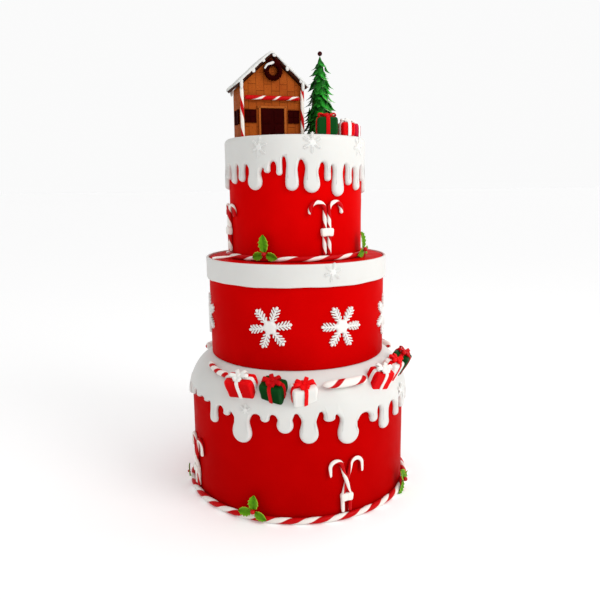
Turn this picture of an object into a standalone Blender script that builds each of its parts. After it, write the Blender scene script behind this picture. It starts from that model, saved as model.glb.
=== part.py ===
"""Three tier Christmas cake with drip icing, sugar ropes, canes, holly, gifts, a house and a tree.

Metres, +Z up. The origin is the centre of the cake's flat underside, on the surface it stands on.
Angles round the cake run from the front (-Y) towards +X.
"""
import math
import random

import bmesh
import bpy
from mathutils import Matrix, Vector

# Tiers: radius of the red icing and the height of each tier's foot above the table.
LOW_RADIUS = 0.127
MID_RADIUS = 0.1025
TOP_RADIUS = 0.0762
MID_FOOT = 0.1590
TOP_FOOT = 0.2720
DECK = 0.4040
FACETS = 48
GAP = 0.0003

# The bottom tier has a rounded shoulder, a quarter of an ellipse in section.
SHOULDER_REACH = 0.045
SHOULDER_RISE = 0.050
SKIN = 0.0040
TOP_EDGE = 0.0060
SHOULDER_STEPS = (1.0, 0.72, 0.46)
FOOT_EDGE = 0.0015

# White band round the top of the middle tier.
BAND_HEIGHT = 0.0237
BAND_THICK = 0.0030
BAND_LIP = 0.0005

# Twisted ropes, as plain rings here. On the ledge: side, start, stop, degrees up the shoulder, radius.
LOW_ROPE = 0.0032
TOP_ROPE = 0.0027
# The top rope's loose end runs from the ring out to the band: its points and radius.
ROPE_END = ((-0.0655, -0.0455, 0.2750), (-0.0920, -0.0495, 0.2744))
ROPE_END_RADIUS = 0.0016
LEDGE_ARCS = (("front", 12, 36, 42, 0.0046), ("left", -60, -39, 51, 0.0034), ("back", 105, 250, 42, 0.0046))

# Drips: angle in degrees, height of the tip above the table, width at the widest place, and the
# height of the gap before it.
LOW_DRIPS = (
    (-69, 0.1160, 0.0080, 0.1255), (-60, 0.1195, 0.0080, 0.1250), (-51.5, 0.1190, 0.0070, 0.1226),
    (-45.3, 0.0988, 0.0115, 0.1215), (-36.3, 0.1116, 0.0085, 0.1205), (-27.5, 0.0850, 0.0230, 0.1172),
    (-15.6, 0.1110, 0.0100, 0.1191), (-6.1, 0.1000, 0.0175, 0.1198), (5, 0.0887, 0.0200, 0.1215),
    (14.7, 0.1110, 0.0125, 0.1224), (24.3, 0.0835, 0.0245, 0.1182), (39.2, 0.1006, 0.0110, 0.1147),
    (47, 0.0884, 0.0150, 0.1172), (59, 0.0950, 0.0095, 0.1165))
TOP_DRIPS = (
    (-71, 0.3590, 0.0080, 0.3745), (-58.6, 0.3544, 0.0085, 0.3750), (-47.3, 0.3563, 0.0090, 0.3753),
    (-33.3, 0.3474, 0.0175, 0.3748), (-22.2, 0.3650, 0.0070, 0.3703), (-12.3, 0.3622, 0.0065, 0.3770),
    (-2.5, 0.3465, 0.0140, 0.3818), (13, 0.3441, 0.0175, 0.3786), (26.1, 0.3560, 0.0080, 0.3756),
    (35.7, 0.3400, 0.0165, 0.3726), (47.5, 0.3516, 0.0090, 0.3738), (59.1, 0.3460, 0.0105, 0.3709),
    (71.5, 0.3560, 0.0080, 0.3730))
LOW_VALLEY = 0.1200
TOP_VALLEY = 0.3755
LOW_PITCH = 9.8
TOP_PITCH = 11.3

# Snowflakes on the middle tier: angle, height of the centre, turn in its own plane.
FLAKES = ((-77.5, 0.2075, 4), (-16, 0.2060, 21), (27.5, 0.2045, -27), (74, 0.2050, 9),
          (130, 0.2060, -14), (180, 0.2050, 22), (230, 0.2070, -8))
FLAKE_RADIUS = 0.0240
FLAKE_THICK = 0.0022

# Cane pairs and holly sprigs stand alternately round the foot of the bottom and the top tier.
# Canes: angle, and the share of their height at which they are tied. The bottom ones cross.
LOW_CANES = ((-66, 0.34), (23, 0.29), (115, 0.40), (205, 0.34))
TOP_CANES = ((-73, 0.42), (24.8, 0.42), (118, 0.42), (207, 0.42))
# Places across from the pair's middle at the foot, at the top of the shaft and at the hook's tip;
# the foot is past the middle where the canes cross. The tip hangs down by the drop.
LOW_CANE_SHAPE = {"foot": -0.0043, "top": 0.0048, "wide": 0.0187, "high": 0.0612, "drop": 0.0170}
TOP_CANE_SHAPE = {"foot": 0.0028, "top": 0.0024, "wide": 0.0188, "high": 0.0580, "drop": 0.0125}
CANE_TUBE = 0.0021
TIE_SIZE = (0.0136, 0.0050, 0.0085)
# Holly sprigs: place round the cake, size.
LOW_HOLLY = ((-21, 1.0), (64.5, 1.0), (160, 1.0), (-77, 0.55))
TOP_HOLLY = ((-23.5, 1.0), (65, 1.0), (162, 1.0), (-116, 1.0))
LEAF_LONG = 0.0185
LEAF_WIDE = 0.0118
LEAF_THICK = 0.0011
BERRY = 0.0026
HOLLY_OUT = 0.0022
LOW_HEART = 0.0135
TOP_HEART = 0.0088
# Leaves of a sprig: turn from upright, share of the full length and width.
LOW_LEAVES = ((-99, 0.90, 0.94), (124, 0.80, 0.94), (2, 0.86, 1.0))
TOP_LEAVES = ((-104, 0.74, 0.84), (107, 0.70, 0.84), (-7, 1.04, 0.96))

# Gifts on the shoulder: name, angle, reach of the base, facing, lean, width, depth, height.
LEDGE_GIFTS = (
    ("gift_ledge_red_wide", -28.4, 0.1215, -24, 25, 0.0310, 0.0170, 0.0145),
    ("gift_ledge_green", -11.6, 0.1218, -26, 25, 0.0245, 0.0185, 0.0130),
    ("gift_ledge_white", 2.7, 0.1235, 19, 25, 0.0250, 0.0165, 0.0135),
    ("gift_ledge_red_tilted", 45.8, 0.1220, 34, 26, 0.0250, 0.0165, 0.0150),
    ("gift_ledge_white_side", 58.6, 0.1205, 54, 27, 0.0220, 0.0165, 0.0165),
    ("gift_ledge_green_side", 72.0, 0.1205, 68, 30, 0.0250, 0.0190, 0.0180))
# Gifts on the deck: name, place, facing, width, depth, height.
DECK_GIFTS = (
    ("gift_deck_green", (0.0345, -0.0450), 7, 0.0212, 0.0180, 0.0190),
    ("gift_deck_red", (0.0562, -0.0350), 28, 0.0155, 0.0135, 0.0145),
    ("gift_deck_pink", (0.0655, -0.0150), 65, 0.0140, 0.0140, 0.0145))
RIBBON_WIDE = 0.0042
RIBBON_PROUD = 0.0006
BOW_WIDE = 0.0150

# Gingerbread house: middle of its front wall, turn, half width between posts, depth, heights.
HOUSE_PLACE = (-0.0246, -0.0240)
HOUSE_TURN = 17.0
HOUSE_HALF = 0.0335
HOUSE_DEEP = 0.0460
HOUSE_EAVE = 0.0555
HOUSE_APEX = 0.0850
ROOF_THICK = 0.0026
ROOF_OVER = 0.0042
SNOW_THICK = 0.0022
POST = 0.0027
RAIL_HEIGHT = 0.0420
DOOR_WIDE = 0.0265
DOOR_HIGH = 0.0310
WINDOW_WIDE = 0.0125
WINDOW_HIGH = 0.0135
WINDOW_FOOT = 0.0160
WINDOW_OFFSET = 0.0245
PANEL_THICK = 0.0016
WREATH_RING = 0.0076
WREATH_TUBE = 0.0026
WREATH_HEIGHT = 0.0703
WREATH_ACROSS = 0.0012

# Tree.
TREE_PLACE = (0.0290, -0.0060)
TREE_HIGH = 0.0885
TREE_RADIUS = 0.0188
TREE_LAYERS = 6
TREE_SPIKES = 8
TREE_BALL = 0.0026


def clear_scene():
    for thing in list(bpy.data.objects):
        bpy.data.objects.remove(thing, do_unlink=True)


def new_collection(name):
    group = bpy.data.collections.new(name)
    bpy.context.scene.collection.children.link(group)
    return group


def icing(name, colour, roughness):
    material = bpy.data.materials.new(name)
    material.use_nodes = True
    shader = material.node_tree.nodes["Principled BSDF"]
    shader.inputs["Base Color"].default_value = (*colour, 1.0)
    shader.inputs["Roughness"].default_value = roughness
    shader.inputs["Metallic"].default_value = 0.0
    return material


def around(radius, angle, height):
    """Point at an angle in degrees from the front, towards +X."""
    turn = math.radians(angle)
    return Vector((radius * math.sin(turn), -radius * math.cos(turn), height))


def wall_frame(radius, angle, height):
    """Matrix at the wall: X runs along it to the right, Y points into the cake, Z up."""
    turn = Matrix.Rotation(math.radians(angle), 4, "Z")
    return Matrix.Translation(around(radius, angle, height)) @ turn


def finish(thing, material, group, smooth=True):
    for owner in list(thing.users_collection):
        owner.objects.unlink(thing)
    group.objects.link(thing)
    thing.data.materials.clear()
    thing.data.materials.append(material)
    if smooth and thing.type == "MESH":
        thing.data.shade_smooth()
        thing.data.set_sharp_from_angle(angle=math.radians(35))
    return thing


def mesh_object(name, mesh, group):
    thing = bpy.data.objects.new(name, mesh)
    group.objects.link(thing)
    return thing


def bmesh_object(name, shape, group, outward=True):
    if outward:
        bmesh.ops.recalc_face_normals(shape, faces=shape.faces)
    mesh = bpy.data.meshes.new(name)
    shape.to_mesh(mesh)
    shape.free()
    return mesh_object(name, mesh, group)


def settle(thing):
    """Replace an object by its evaluated mesh in world space; the caps of a curve are welded."""
    is_curve = thing.type == "CURVE"
    bpy.context.view_layer.update()
    graph = bpy.context.evaluated_depsgraph_get()
    mesh = bpy.data.meshes.new_from_object(thing.evaluated_get(graph))
    mesh.transform(thing.matrix_world)
    if is_curve:
        shape = bmesh.new()
        shape.from_mesh(mesh)
        bmesh.ops.remove_doubles(shape, verts=shape.verts, dist=0.00001)
        shape.to_mesh(mesh)
        shape.free()
    name = thing.name
    owner = thing.users_collection[0]
    bpy.data.objects.remove(thing, do_unlink=True)
    return mesh_object(name, mesh, owner)


def joined(name, pieces, group, solver="EXACT"):
    """One body from overlapping pieces: a Boolean union on a collection, applied."""
    others = new_collection(name + "_pieces")
    first = pieces[0]
    first.name = name
    for piece in pieces[1:]:
        for owner in list(piece.users_collection):
            owner.objects.unlink(piece)
        others.objects.link(piece)
    union = first.modifiers.new("union", "BOOLEAN")
    union.operation = "UNION"
    union.operand_type = "COLLECTION"
    union.collection = others
    union.solver = solver
    whole = settle(first)
    for piece in list(others.objects):
        bpy.data.objects.remove(piece, do_unlink=True)
    bpy.data.collections.remove(others)
    return whole


def cut_away(thing, cutter, solver="EXACT"):
    cut = thing.modifiers.new("cut", "BOOLEAN")
    cut.operation = "DIFFERENCE"
    cut.object = cutter
    cut.solver = solver
    return settle(thing)


def turned(name, profile, group, facets=FACETS):
    """Solid of revolution: (radius, height) points run down the outer side, top to bottom."""
    mesh = bpy.data.meshes.new(name)
    points = [(radius, 0.0, height) for radius, height in profile]
    mesh.from_pydata(points, [(i, i + 1) for i in range(len(points) - 1)], [])
    thing = mesh_object(name, mesh, group)
    screw = thing.modifiers.new("turn", "SCREW")
    screw.steps = facets
    screw.render_steps = facets
    screw.use_merge_vertices = True
    screw.merge_threshold = 0.00005
    return thing


def box(name, size, matrix, group):
    """Box with its foot at the matrix's origin, centred across and in depth."""
    shape = bmesh.new()
    bmesh.ops.create_cube(shape, size=1.0)
    wide, deep, high = size
    scale = Matrix.Diagonal((wide, deep, high, 1.0))
    bmesh.ops.transform(shape, matrix=matrix @ Matrix.Translation((0, 0, high / 2)) @ scale, verts=shape.verts)
    return bmesh_object(name, shape, group)


def rod(name, points, radius, group, sides=1):
    """Round rod along points: a curve with a bevel and filled ends, made a mesh."""
    curve = bpy.data.curves.new(name, "CURVE")
    curve.dimensions = "3D"
    curve.bevel_depth = radius
    curve.bevel_resolution = sides
    curve.use_fill_caps = True
    line = curve.splines.new("POLY")
    line.points.add(len(points) - 1)
    for point, place in zip(line.points, points):
        point.co = (*place, 1.0)
    return settle(mesh_object(name, curve, group))


def plate(name, outline, thick, matrix, group):
    """Flat outline in X and Z of the matrix, as thick as given along Y, centred."""
    curve = bpy.data.curves.new(name, "CURVE")
    curve.dimensions = "2D"
    curve.fill_mode = "BOTH"
    curve.extrude = thick / 2
    line = curve.splines.new("POLY")
    line.points.add(len(outline) - 1)
    for point, (across, up) in zip(line.points, outline):
        point.co = (across, up, 0.0, 1.0)
    line.use_cyclic_u = True
    thing = mesh_object(name, curve, group)
    thing.matrix_world = matrix @ Matrix.Rotation(math.pi / 2, 4, "X")
    return settle(thing)


def shoulder_point(turn, outward=0.0):
    """Radius and height on the bottom tier's shoulder, turn in degrees up from the wall."""
    reach = SHOULDER_REACH + outward
    rise = SHOULDER_RISE + outward
    centre = LOW_RADIUS + SKIN - SHOULDER_REACH
    foot = MID_FOOT - SHOULDER_RISE * math.sin(shoulder_end())
    turn = math.radians(turn)
    return centre + reach * math.cos(turn), foot + rise * math.sin(turn)


def shoulder_end():
    """Turn at which the shoulder meets the middle tier, in radians."""
    ledge = LOW_RADIUS + SKIN - MID_RADIUS
    return math.acos(1.0 - ledge / SHOULDER_REACH)


def shoulder_turn(height):
    """Turn in degrees at which the shoulder has a height."""
    foot = shoulder_point(0)[1]
    return math.degrees(math.asin(max(0.0, min(1.0, (height - foot) / SHOULDER_RISE))))


def shoulder_height(radius):
    """Height of the icing on the shoulder at a radius."""
    centre = LOW_RADIUS + SKIN - SHOULDER_REACH
    return shoulder_point(math.degrees(math.acos((radius - centre) / SHOULDER_REACH)))[1]


def shoulder_turns():
    """Turns of the rings that the bottom tier's core and its icing share, from the top down."""
    end = math.degrees(shoulder_end())
    return [end * share for share in SHOULDER_STEPS] + [shoulder_turn(LOW_VALLEY + 0.0075)]


def tiers(group, red):
    core = [shoulder_point(turn, -SKIN) for turn in shoulder_turns()]
    lowest = min(tip for _, tip, _, _ in LOW_DRIPS)
    foot = [(LOW_RADIUS, lowest), (LOW_RADIUS, FOOT_EDGE), (LOW_RADIUS - FOOT_EDGE, 0.0), (0.0, 0.0)]
    low = turned("tier_bottom", [(0.0, core[0][1])] + core + foot, group)
    mid_top = [(0.0, TOP_FOOT), (MID_RADIUS - 0.003, TOP_FOOT), (MID_RADIUS - 0.0008, TOP_FOOT - 0.001),
               (MID_RADIUS, TOP_FOOT - 0.0035)]
    mid_low = MID_FOOT + GAP
    mid = turned("tier_middle", mid_top + [(MID_RADIUS, mid_low), (0.0, mid_low)], group)
    top_low = TOP_FOOT + GAP
    high = DECK - SKIN
    top_top = [(0.0, high), (TOP_RADIUS - 0.004, high), (TOP_RADIUS, high - 0.004)]
    top = turned("tier_top", top_top + [(TOP_RADIUS, top_low), (0.0, top_low)], group)
    for tier in (low, mid, top):
        finish(tier, red, group)


def drip_row(drips, pitch, valley, tips, seed):
    """All drips round a tier: the seen ones as listed, then seeded ones round the back."""
    draw = random.Random(seed)
    row = [(angle, tip, wide) for angle, tip, wide, _ in drips]
    start = drips[-1][0]
    arc = 360 + drips[0][0] - start
    count = round(arc / pitch)
    for step in range(1, count):
        angle = start + arc * step / count + draw.uniform(-1.2, 1.2)
        long = draw.random() ** 1.3
        tip = tips[1] - (tips[1] - tips[0]) * long
        wide = 0.0075 + 0.0125 * long + draw.uniform(0, 0.003)
        row.append((angle, tip, wide))
    valleys = [valley + draw.uniform(-0.0028, 0.0028) for _ in row]
    valleys[:len(drips)] = [height for _, _, _, height in drips]
    return row, valleys


def drip_outline(row, valleys, radius):
    """Lower edge of the icing as (angle, height) points: a valley, then down and up each drip."""
    outline = []
    for index, (angle, tip, wide) in enumerate(row):
        before = row[index - 1]
        last = before[0] - (360 if index == 0 else 0)
        gap_angle = (last + angle) / 2
        valley = valleys[index]
        half = math.degrees(wide / 2 / radius)
        long = valley - tip
        outline.append((gap_angle, valley))
        if wide > 0.0105:
            shape = ((0.62, tip + long * 0.66), (0.96, tip + min(long * 0.36, wide * 0.5)), (0.50, tip))
        else:
            shape = ((0.84, tip + min(long * 0.40, wide * 0.6)), (0.34, tip))
        outline.extend((angle - half * across, height) for across, height in shape)
        outline.extend((angle + half * across, height) for across, height in reversed(shape))
    return outline


def ring(shape, radius, height):
    """Ring of vertices in line with the tiers' facets, with their angles."""
    vertices = []
    for step in range(FACETS):
        turn = 2 * math.pi * step / FACETS
        place = (radius * math.cos(turn), radius * math.sin(turn), height)
        vertices.append((math.degrees(turn), shape.verts.new(place)))
    return vertices


def edge_ring(shape, outline, place):
    """Ring of vertices along the drip edge; angles are turned to match ring()."""
    vertices = [(angle - 90, shape.verts.new(place(angle, height))) for angle, height in outline]
    return vertices


def bridge(shape, first, second):
    """Join two closed rings of unlike counts by a strip of triangles, stepping by angle."""
    def ordered(vertices):
        start = vertices[0][0] % 360
        return [((angle - vertices[0][0]) + start, vertex) for angle, vertex in vertices]

    upper = ordered(first)
    lower = ordered(second)
    shift = min(range(len(upper)), key=lambda i: abs((upper[i][0] - lower[0][0] + 180) % 360 - 180))
    upper = [(upper[(shift + i) % len(upper)][0] + (360 if shift + i >= len(upper) else 0),
              upper[(shift + i) % len(upper)][1]) for i in range(len(upper))]
    offset = upper[0][0] - lower[0][0]
    turns = round(offset / 360) * 360
    upper = [(angle - turns, vertex) for angle, vertex in upper]
    upper.append((upper[0][0] + 360, upper[0][1]))
    lower.append((lower[0][0] + 360, lower[0][1]))
    i = 0
    j = 0
    while i < len(upper) - 1 or j < len(lower) - 1:
        step_upper = j == len(lower) - 1
        if i < len(upper) - 1 and not step_upper:
            step_upper = upper[i + 1][0] + upper[i][0] < lower[j + 1][0] + lower[j][0]
        if step_upper:
            shape.faces.new((upper[i][1], lower[j][1], upper[i + 1][1]))
            i += 1
        else:
            shape.faces.new((upper[i][1], lower[j][1], lower[j + 1][1]))
            j += 1


def quads(shape, first, second):
    count = len(first)
    for i in range(count):
        after = (i + 1) % count
        shape.faces.new((first[i][1], second[i][1], second[after][1], first[after][1]))


def drip_icing(name, outer, inner, outline, face, back, group):
    """Closed skin of icing: caps and rings outside and inside, joined round the drip edge."""
    shape = bmesh.new()
    outside = [ring(shape, radius, height) for radius, height in outer]
    inside = [ring(shape, radius, height) for radius, height in inner]
    shape.faces.new([vertex for _, vertex in outside[0]])
    shape.faces.new([vertex for _, vertex in inside[0]])
    for rings in (outside, inside):
        for above, below in zip(rings, rings[1:]):
            quads(shape, above, below)
    swollen = edge_ring(shape, outline, face)
    thin = edge_ring(shape, outline, back)
    bridge(shape, outside[-1], swollen)
    quads(shape, swollen, thin)
    bridge(shape, inside[-1], thin)
    return bmesh_object(name, shape, group)


def icing_bottom(group, white):
    row, valleys = drip_row(LOW_DRIPS, LOW_PITCH, LOW_VALLEY, (0.084, 0.110), 11)
    outline = drip_outline(row, valleys, LOW_RADIUS)
    outer = [shoulder_point(turn) for turn in shoulder_turns()]
    inner = [shoulder_point(turn, -SKIN + GAP) for turn in shoulder_turns()]

    def face(angle, height):
        radius = shoulder_point(shoulder_turn(height), -0.0012)[0]
        return around(radius, angle, height)

    def back(angle, height):
        radius = shoulder_point(shoulder_turn(height), -SKIN + GAP)[0]
        return around(radius, angle, height)

    skin = drip_icing("icing_bottom", outer, inner, outline, face, back, group)
    return finish(skin, white, group)


def icing_top(group, white):
    row, valleys = drip_row(TOP_DRIPS, TOP_PITCH, TOP_VALLEY, (0.341, 0.366), 23)
    outline = drip_outline(row, valleys, TOP_RADIUS)
    wall = TOP_RADIUS + SKIN
    side = TOP_VALLEY + 0.009
    back_wall = TOP_RADIUS + GAP
    under = DECK - SKIN + GAP
    outer = [(wall - TOP_EDGE, DECK), (wall - TOP_EDGE * 0.3, DECK - TOP_EDGE * 0.3),
             (wall, DECK - TOP_EDGE), (wall, side)]
    inner = [(back_wall - 0.004, under), (back_wall, under - 0.004), (back_wall, side)]

    def face(angle, height):
        return around(wall - 0.0012, angle, height)

    def back(angle, height):
        return around(back_wall, angle, height)

    skin = drip_icing("icing_top", outer, inner, outline, face, back, group)
    return finish(skin, white, group)


def band_middle(group, white):
    inner = MID_RADIUS + GAP
    outer = MID_RADIUS + BAND_THICK
    high = TOP_FOOT + BAND_LIP
    low = TOP_FOOT - BAND_HEIGHT
    shape = bmesh.new()
    profile = [(inner, high), (outer, high - 0.0004), (outer, low), (inner, low)]
    rings = [ring(shape, radius, height) for radius, height in profile]
    for above, below in zip(rings, rings[1:] + rings[:1]):
        quads(shape, above, below)
    band = bmesh_object("band_middle", shape, group)
    return finish(band, white, group)


def rope_ring(name, radius, height, tube, group, material, facets):
    bpy.ops.mesh.primitive_torus_add(major_segments=facets, minor_segments=6, major_radius=radius,
                                     minor_radius=tube, location=(0, 0, height))
    thing = bpy.context.object
    thing.name = name
    return finish(settle(thing), material, group)


def rope_arc(name, start, stop, radius, height, tube, group, material):
    steps = max(4, round((stop - start) / 7.5))
    points = [around(radius, start + (stop - start) * i / steps, height) for i in range(steps + 1)]
    return finish(rod(name, points, tube, group), material, group)


def ropes(group, rope_colour):
    rope_ring("rope_base", LOW_RADIUS + LOW_ROPE + 0.0006, LOW_ROPE + GAP, LOW_ROPE, group, rope_colour, 44)
    ring = rope_ring("rope_top", TOP_RADIUS + TOP_ROPE + 0.0006, TOP_FOOT + TOP_ROPE + 0.0006, TOP_ROPE, group,
                     rope_colour, 36)
    end = rod("rope_top_end", ROPE_END, ROPE_END_RADIUS, group)
    finish(joined("rope_top", [ring, end], group, "MANIFOLD"), rope_colour, group)
    for side, start, stop, turn, tube in LEDGE_ARCS:
        radius, height = shoulder_point(turn, tube + 0.0006)
        rope_arc(f"rope_ledge_{side}", start, stop, radius, height, tube, group, rope_colour)


def snowflake(name, angle, height, turn, group, white):
    """Six armed plate with notched arms, bent to the wall by its vertices' places."""
    arm = ((0.0040, 0.0075), (0.0052, 0.0125), (0.0030, 0.0140), (0.0050, 0.0190))
    radius = MID_RADIUS + GAP
    shape = bmesh.new()

    def place(across, along, arm_turn):
        spin = math.radians(arm_turn + turn)
        side = across * math.cos(spin) + along * math.sin(spin)
        up = along * math.cos(spin) - across * math.sin(spin)
        bend = angle + math.degrees(side / (radius + FLAKE_THICK))
        return around(radius, bend, height + up)

    centre = shape.verts.new(place(0, 0, 0))
    rims = []
    for arm_index in range(6):
        arm_turn = 60 * arm_index
        left = [shape.verts.new(place(-wide, along, arm_turn)) for wide, along in arm]
        right = [shape.verts.new(place(wide, along, arm_turn)) for wide, along in arm]
        tip = shape.verts.new(place(0, FLAKE_RADIUS, arm_turn))
        for near, far in zip(range(len(arm) - 1), range(1, len(arm))):
            shape.faces.new((left[near], right[near], right[far], left[far]))
        shape.faces.new((left[-1], right[-1], tip))
        rims.append((left[0], right[0]))
    for index, (left, right) in enumerate(rims):
        shape.faces.new((centre, right, left))
        shape.faces.new((centre, rims[(index + 1) % 6][0], right))
    bmesh.ops.recalc_face_normals(shape, faces=shape.faces)
    first = next(iter(shape.faces))
    if first.normal.dot(around(1.0, angle, 0.0)) < 0:
        bmesh.ops.reverse_faces(shape, faces=shape.faces)
    thing = bmesh_object(name, shape, group, outward=False)
    thick = thing.modifiers.new("thickness", "SOLIDIFY")
    thick.thickness = FLAKE_THICK
    thick.offset = 1.0
    return finish(settle(thing), white, group)


def cane_points(side, look, tie):
    """Path of one cane in the wall's plane: shaft from the foot up, then a hook outwards."""
    arc = (look["wide"] - look["top"]) / 2
    top = look["high"] - CANE_TUBE - arc
    points = [(look["foot"], 0.0), (look["foot"], tie), (look["top"], top)]
    for turn in (45, 90, 135):
        bend = math.radians(turn)
        points.append((look["top"] + arc - arc * math.cos(bend), top + arc * math.sin(bend)))
    points.append((look["wide"], top + arc - look["drop"]))
    return [(side * across, up) for across, up in points]


def cane_pair(name, angle, share, radius, foot, look, group, colour):
    """Two canes with a tie round their shafts, joined into one body."""
    middle = radius + GAP + CANE_TUBE
    tie = look["high"] * share
    knot = wall_frame(radius + 2 * GAP + TIE_SIZE[1] / 2, angle, foot + tie - TIE_SIZE[2] / 2)
    pieces = [box(name, TIE_SIZE, knot, group)]
    for side in (-1, 1):
        points = []
        for across, up in cane_points(side, look, tie):
            points.append(around(middle, angle + math.degrees(across / middle), foot + up))
        pieces.append(rod(name + "_cane", points, CANE_TUBE, group))
    whole = joined(name, pieces, group)
    return finish(whole, colour, group)


def canes(group, colour):
    low_foot = 2 * LOW_ROPE + 3 * GAP
    for index, (angle, share) in enumerate(LOW_CANES, start=1):
        cane_pair(f"canes_bottom_{index}", angle, share, LOW_RADIUS, low_foot, LOW_CANE_SHAPE, group, colour)
    top_foot = TOP_FOOT + 2 * TOP_ROPE + 0.0012
    for index, (angle, share) in enumerate(TOP_CANES, start=1):
        cane_pair(f"canes_top_{index}", angle, share, TOP_RADIUS, top_foot, TOP_CANE_SHAPE, group, colour)


def leaf(name, long, wide_leaf, matrix, group):
    """Thin wavy leaf with a spiny edge: X across, Z along from its stalk, Y its thickness."""
    half = wide_leaf / 2
    edge = ((0.20, 0.55), (0.40, 1.00), (0.72, 0.80))
    shape = bmesh.new()

    def spot(across, along, lift):
        return shape.verts.new(matrix @ Vector((across, lift, along * long)))

    stalk = spot(0, 0, 0)
    tip = spot(0, 1, 0.0004)
    rib = [spot(0, 0.36, 0.0009), spot(0, 0.70, 0.0007)]
    left = [spot(-half * wide, along, -0.0006 * index) for index, (along, wide) in enumerate(edge)]
    right = [spot(half * wide, along, -0.0004 * index) for index, (along, wide) in enumerate(edge)]
    for side in (left, right):
        shape.faces.new((stalk, side[0], rib[0]))
        shape.faces.new((side[0], side[1], rib[0]))
        shape.faces.new((side[1], side[2], rib[1]))
        shape.faces.new((side[1], rib[1], rib[0]))
        shape.faces.new((side[2], tip, rib[1]))
    bmesh.ops.recalc_face_normals(shape, faces=shape.faces)
    thing = bmesh_object(name, shape, group, outward=False)
    thick = thing.modifiers.new("thickness", "SOLIDIFY")
    thick.thickness = LEAF_THICK
    thick.offset = 0.0
    return settle(thing)


def holly(name, angle, size, radius, height, leaves, group, green):
    """Three leaves and a berry at the foot of a wall, over the rope, joined."""
    heart = wall_frame(radius, angle, height) @ Matrix.Scale(size, 4)
    pieces = []
    spots = ((-0.0018, 0.0, -0.0008), (0.0018, 0.0, -0.0008), (0.0, 0.0, 0.0012))
    for (turn, long, wide), spot in zip(leaves, spots):
        place = heart @ Matrix.Translation(spot) @ Matrix.Rotation(math.radians(turn), 4, "Y")
        pieces.append(leaf(name, LEAF_LONG * long, LEAF_WIDE * wide, place, group))
    berry = bmesh.new()
    bmesh.ops.create_icosphere(berry, subdivisions=1, radius=BERRY)
    bmesh.ops.transform(berry, matrix=heart @ Matrix.Translation((0, -0.0006, -0.0006)), verts=berry.verts)
    pieces.append(bmesh_object(name, berry, group))
    return finish(joined(name, pieces, group), green, group)


def sprigs(group, green):
    for index, (angle, size) in enumerate(LOW_HOLLY, start=1):
        radius = LOW_RADIUS + 2 * LOW_ROPE + HOLLY_OUT
        holly(f"holly_bottom_{index}", angle, size, radius, LOW_HEART, LOW_LEAVES, group, green)
    for index, (angle, size) in enumerate(TOP_HOLLY, start=1):
        radius = TOP_RADIUS + 2 * TOP_ROPE + HOLLY_OUT
        holly(f"holly_top_{index}", angle, size, radius, TOP_FOOT + TOP_HEART, TOP_LEAVES, group, green)


def gift_pieces(name, size, sink, matrix, group):
    """Gift with a ribbon both ways and a bow; its box runs down by sink below the matrix."""
    wide, deep, high = size
    low = matrix @ Matrix.Translation((0, 0, -sink))
    proud = 2 * RIBBON_PROUD
    ribbon = RIBBON_WIDE
    pieces = [box(name, (wide, deep, high + sink), low, group),
              box(name, (ribbon, deep + proud, high + sink + RIBBON_PROUD), low, group),
              box(name, (wide + proud, ribbon, high + sink + RIBBON_PROUD), low, group)]
    top = matrix @ Matrix.Translation((0, 0, high))
    reach = min(BOW_WIDE, wide * 0.9) / 2
    for side in (-1, 1):
        loop = bmesh.new()
        inner = -side * 0.0007
        corners = ((inner, 0.0003), (side * reach * 0.75, 0.0003), (side * reach, 0.0030),
                   (side * reach * 0.6, 0.0050), (inner, 0.0027))
        rows = [[loop.verts.new(top @ Vector((across, depth, up))) for across, up in corners]
                for depth in (-0.0026, 0.0026)]
        for k in range(len(corners)):
            after = (k + 1) % len(corners)
            loop.faces.new((rows[0][k], rows[0][after], rows[1][after], rows[1][k]))
        loop.faces.new(rows[0])
        loop.faces.new(rows[1])
        pieces.append(bmesh_object(name, loop, group))
    return pieces


def shoulder_cutter(group):
    outline = [shoulder_point(turn, GAP) for turn in shoulder_turns()]
    profile = [(0.0, outline[0][1])] + outline + [(LOW_RADIUS + SKIN, 0.1000), (0.0, 0.1000)]
    cutter = settle(turned("shoulder_cutter", profile, group))
    cutter.hide_render = True
    cutter.display_type = "WIRE"
    return cutter


def gifts(group, cutters, paper):
    cutter = shoulder_cutter(cutters)
    for name, angle, reach, facing, lean, wide, deep, high in LEDGE_GIFTS:
        tilt = (Matrix.Rotation(math.radians(angle), 4, "Z") @ Matrix.Rotation(math.radians(lean), 4, "X")
                @ Matrix.Rotation(math.radians(-angle), 4, "Z"))
        place = (Matrix.Translation(around(reach, angle, shoulder_height(reach))) @ tilt
                 @ Matrix.Rotation(math.radians(facing), 4, "Z"))
        whole = joined(name, gift_pieces(name, (wide, deep, high), 0.011, place, group), group, "MANIFOLD")
        finish(cut_away(whole, cutter, "MANIFOLD"), paper[name.split("_")[2]], group)
    for name, (across, back), facing, wide, deep, high in DECK_GIFTS:
        place = (Matrix.Translation((across, back, DECK + GAP))
                 @ Matrix.Rotation(math.radians(facing), 4, "Z"))
        whole = joined(name, gift_pieces(name, (wide, deep, high), 0.0, place, group), group, "MANIFOLD")
        finish(whole, paper[name.split("_")[2]], group)


def house_frame():
    """Matrix of the house: X along its front wall, Y into the house, Z up from the deck."""
    return (Matrix.Translation((*HOUSE_PLACE, DECK + GAP))
            @ Matrix.Rotation(math.radians(HOUSE_TURN), 4, "Z"))


def gable(half, eave, apex):
    return [(-half, 0.0), (half, 0.0), (half, eave), (0.0, apex), (-half, eave)]


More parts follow.
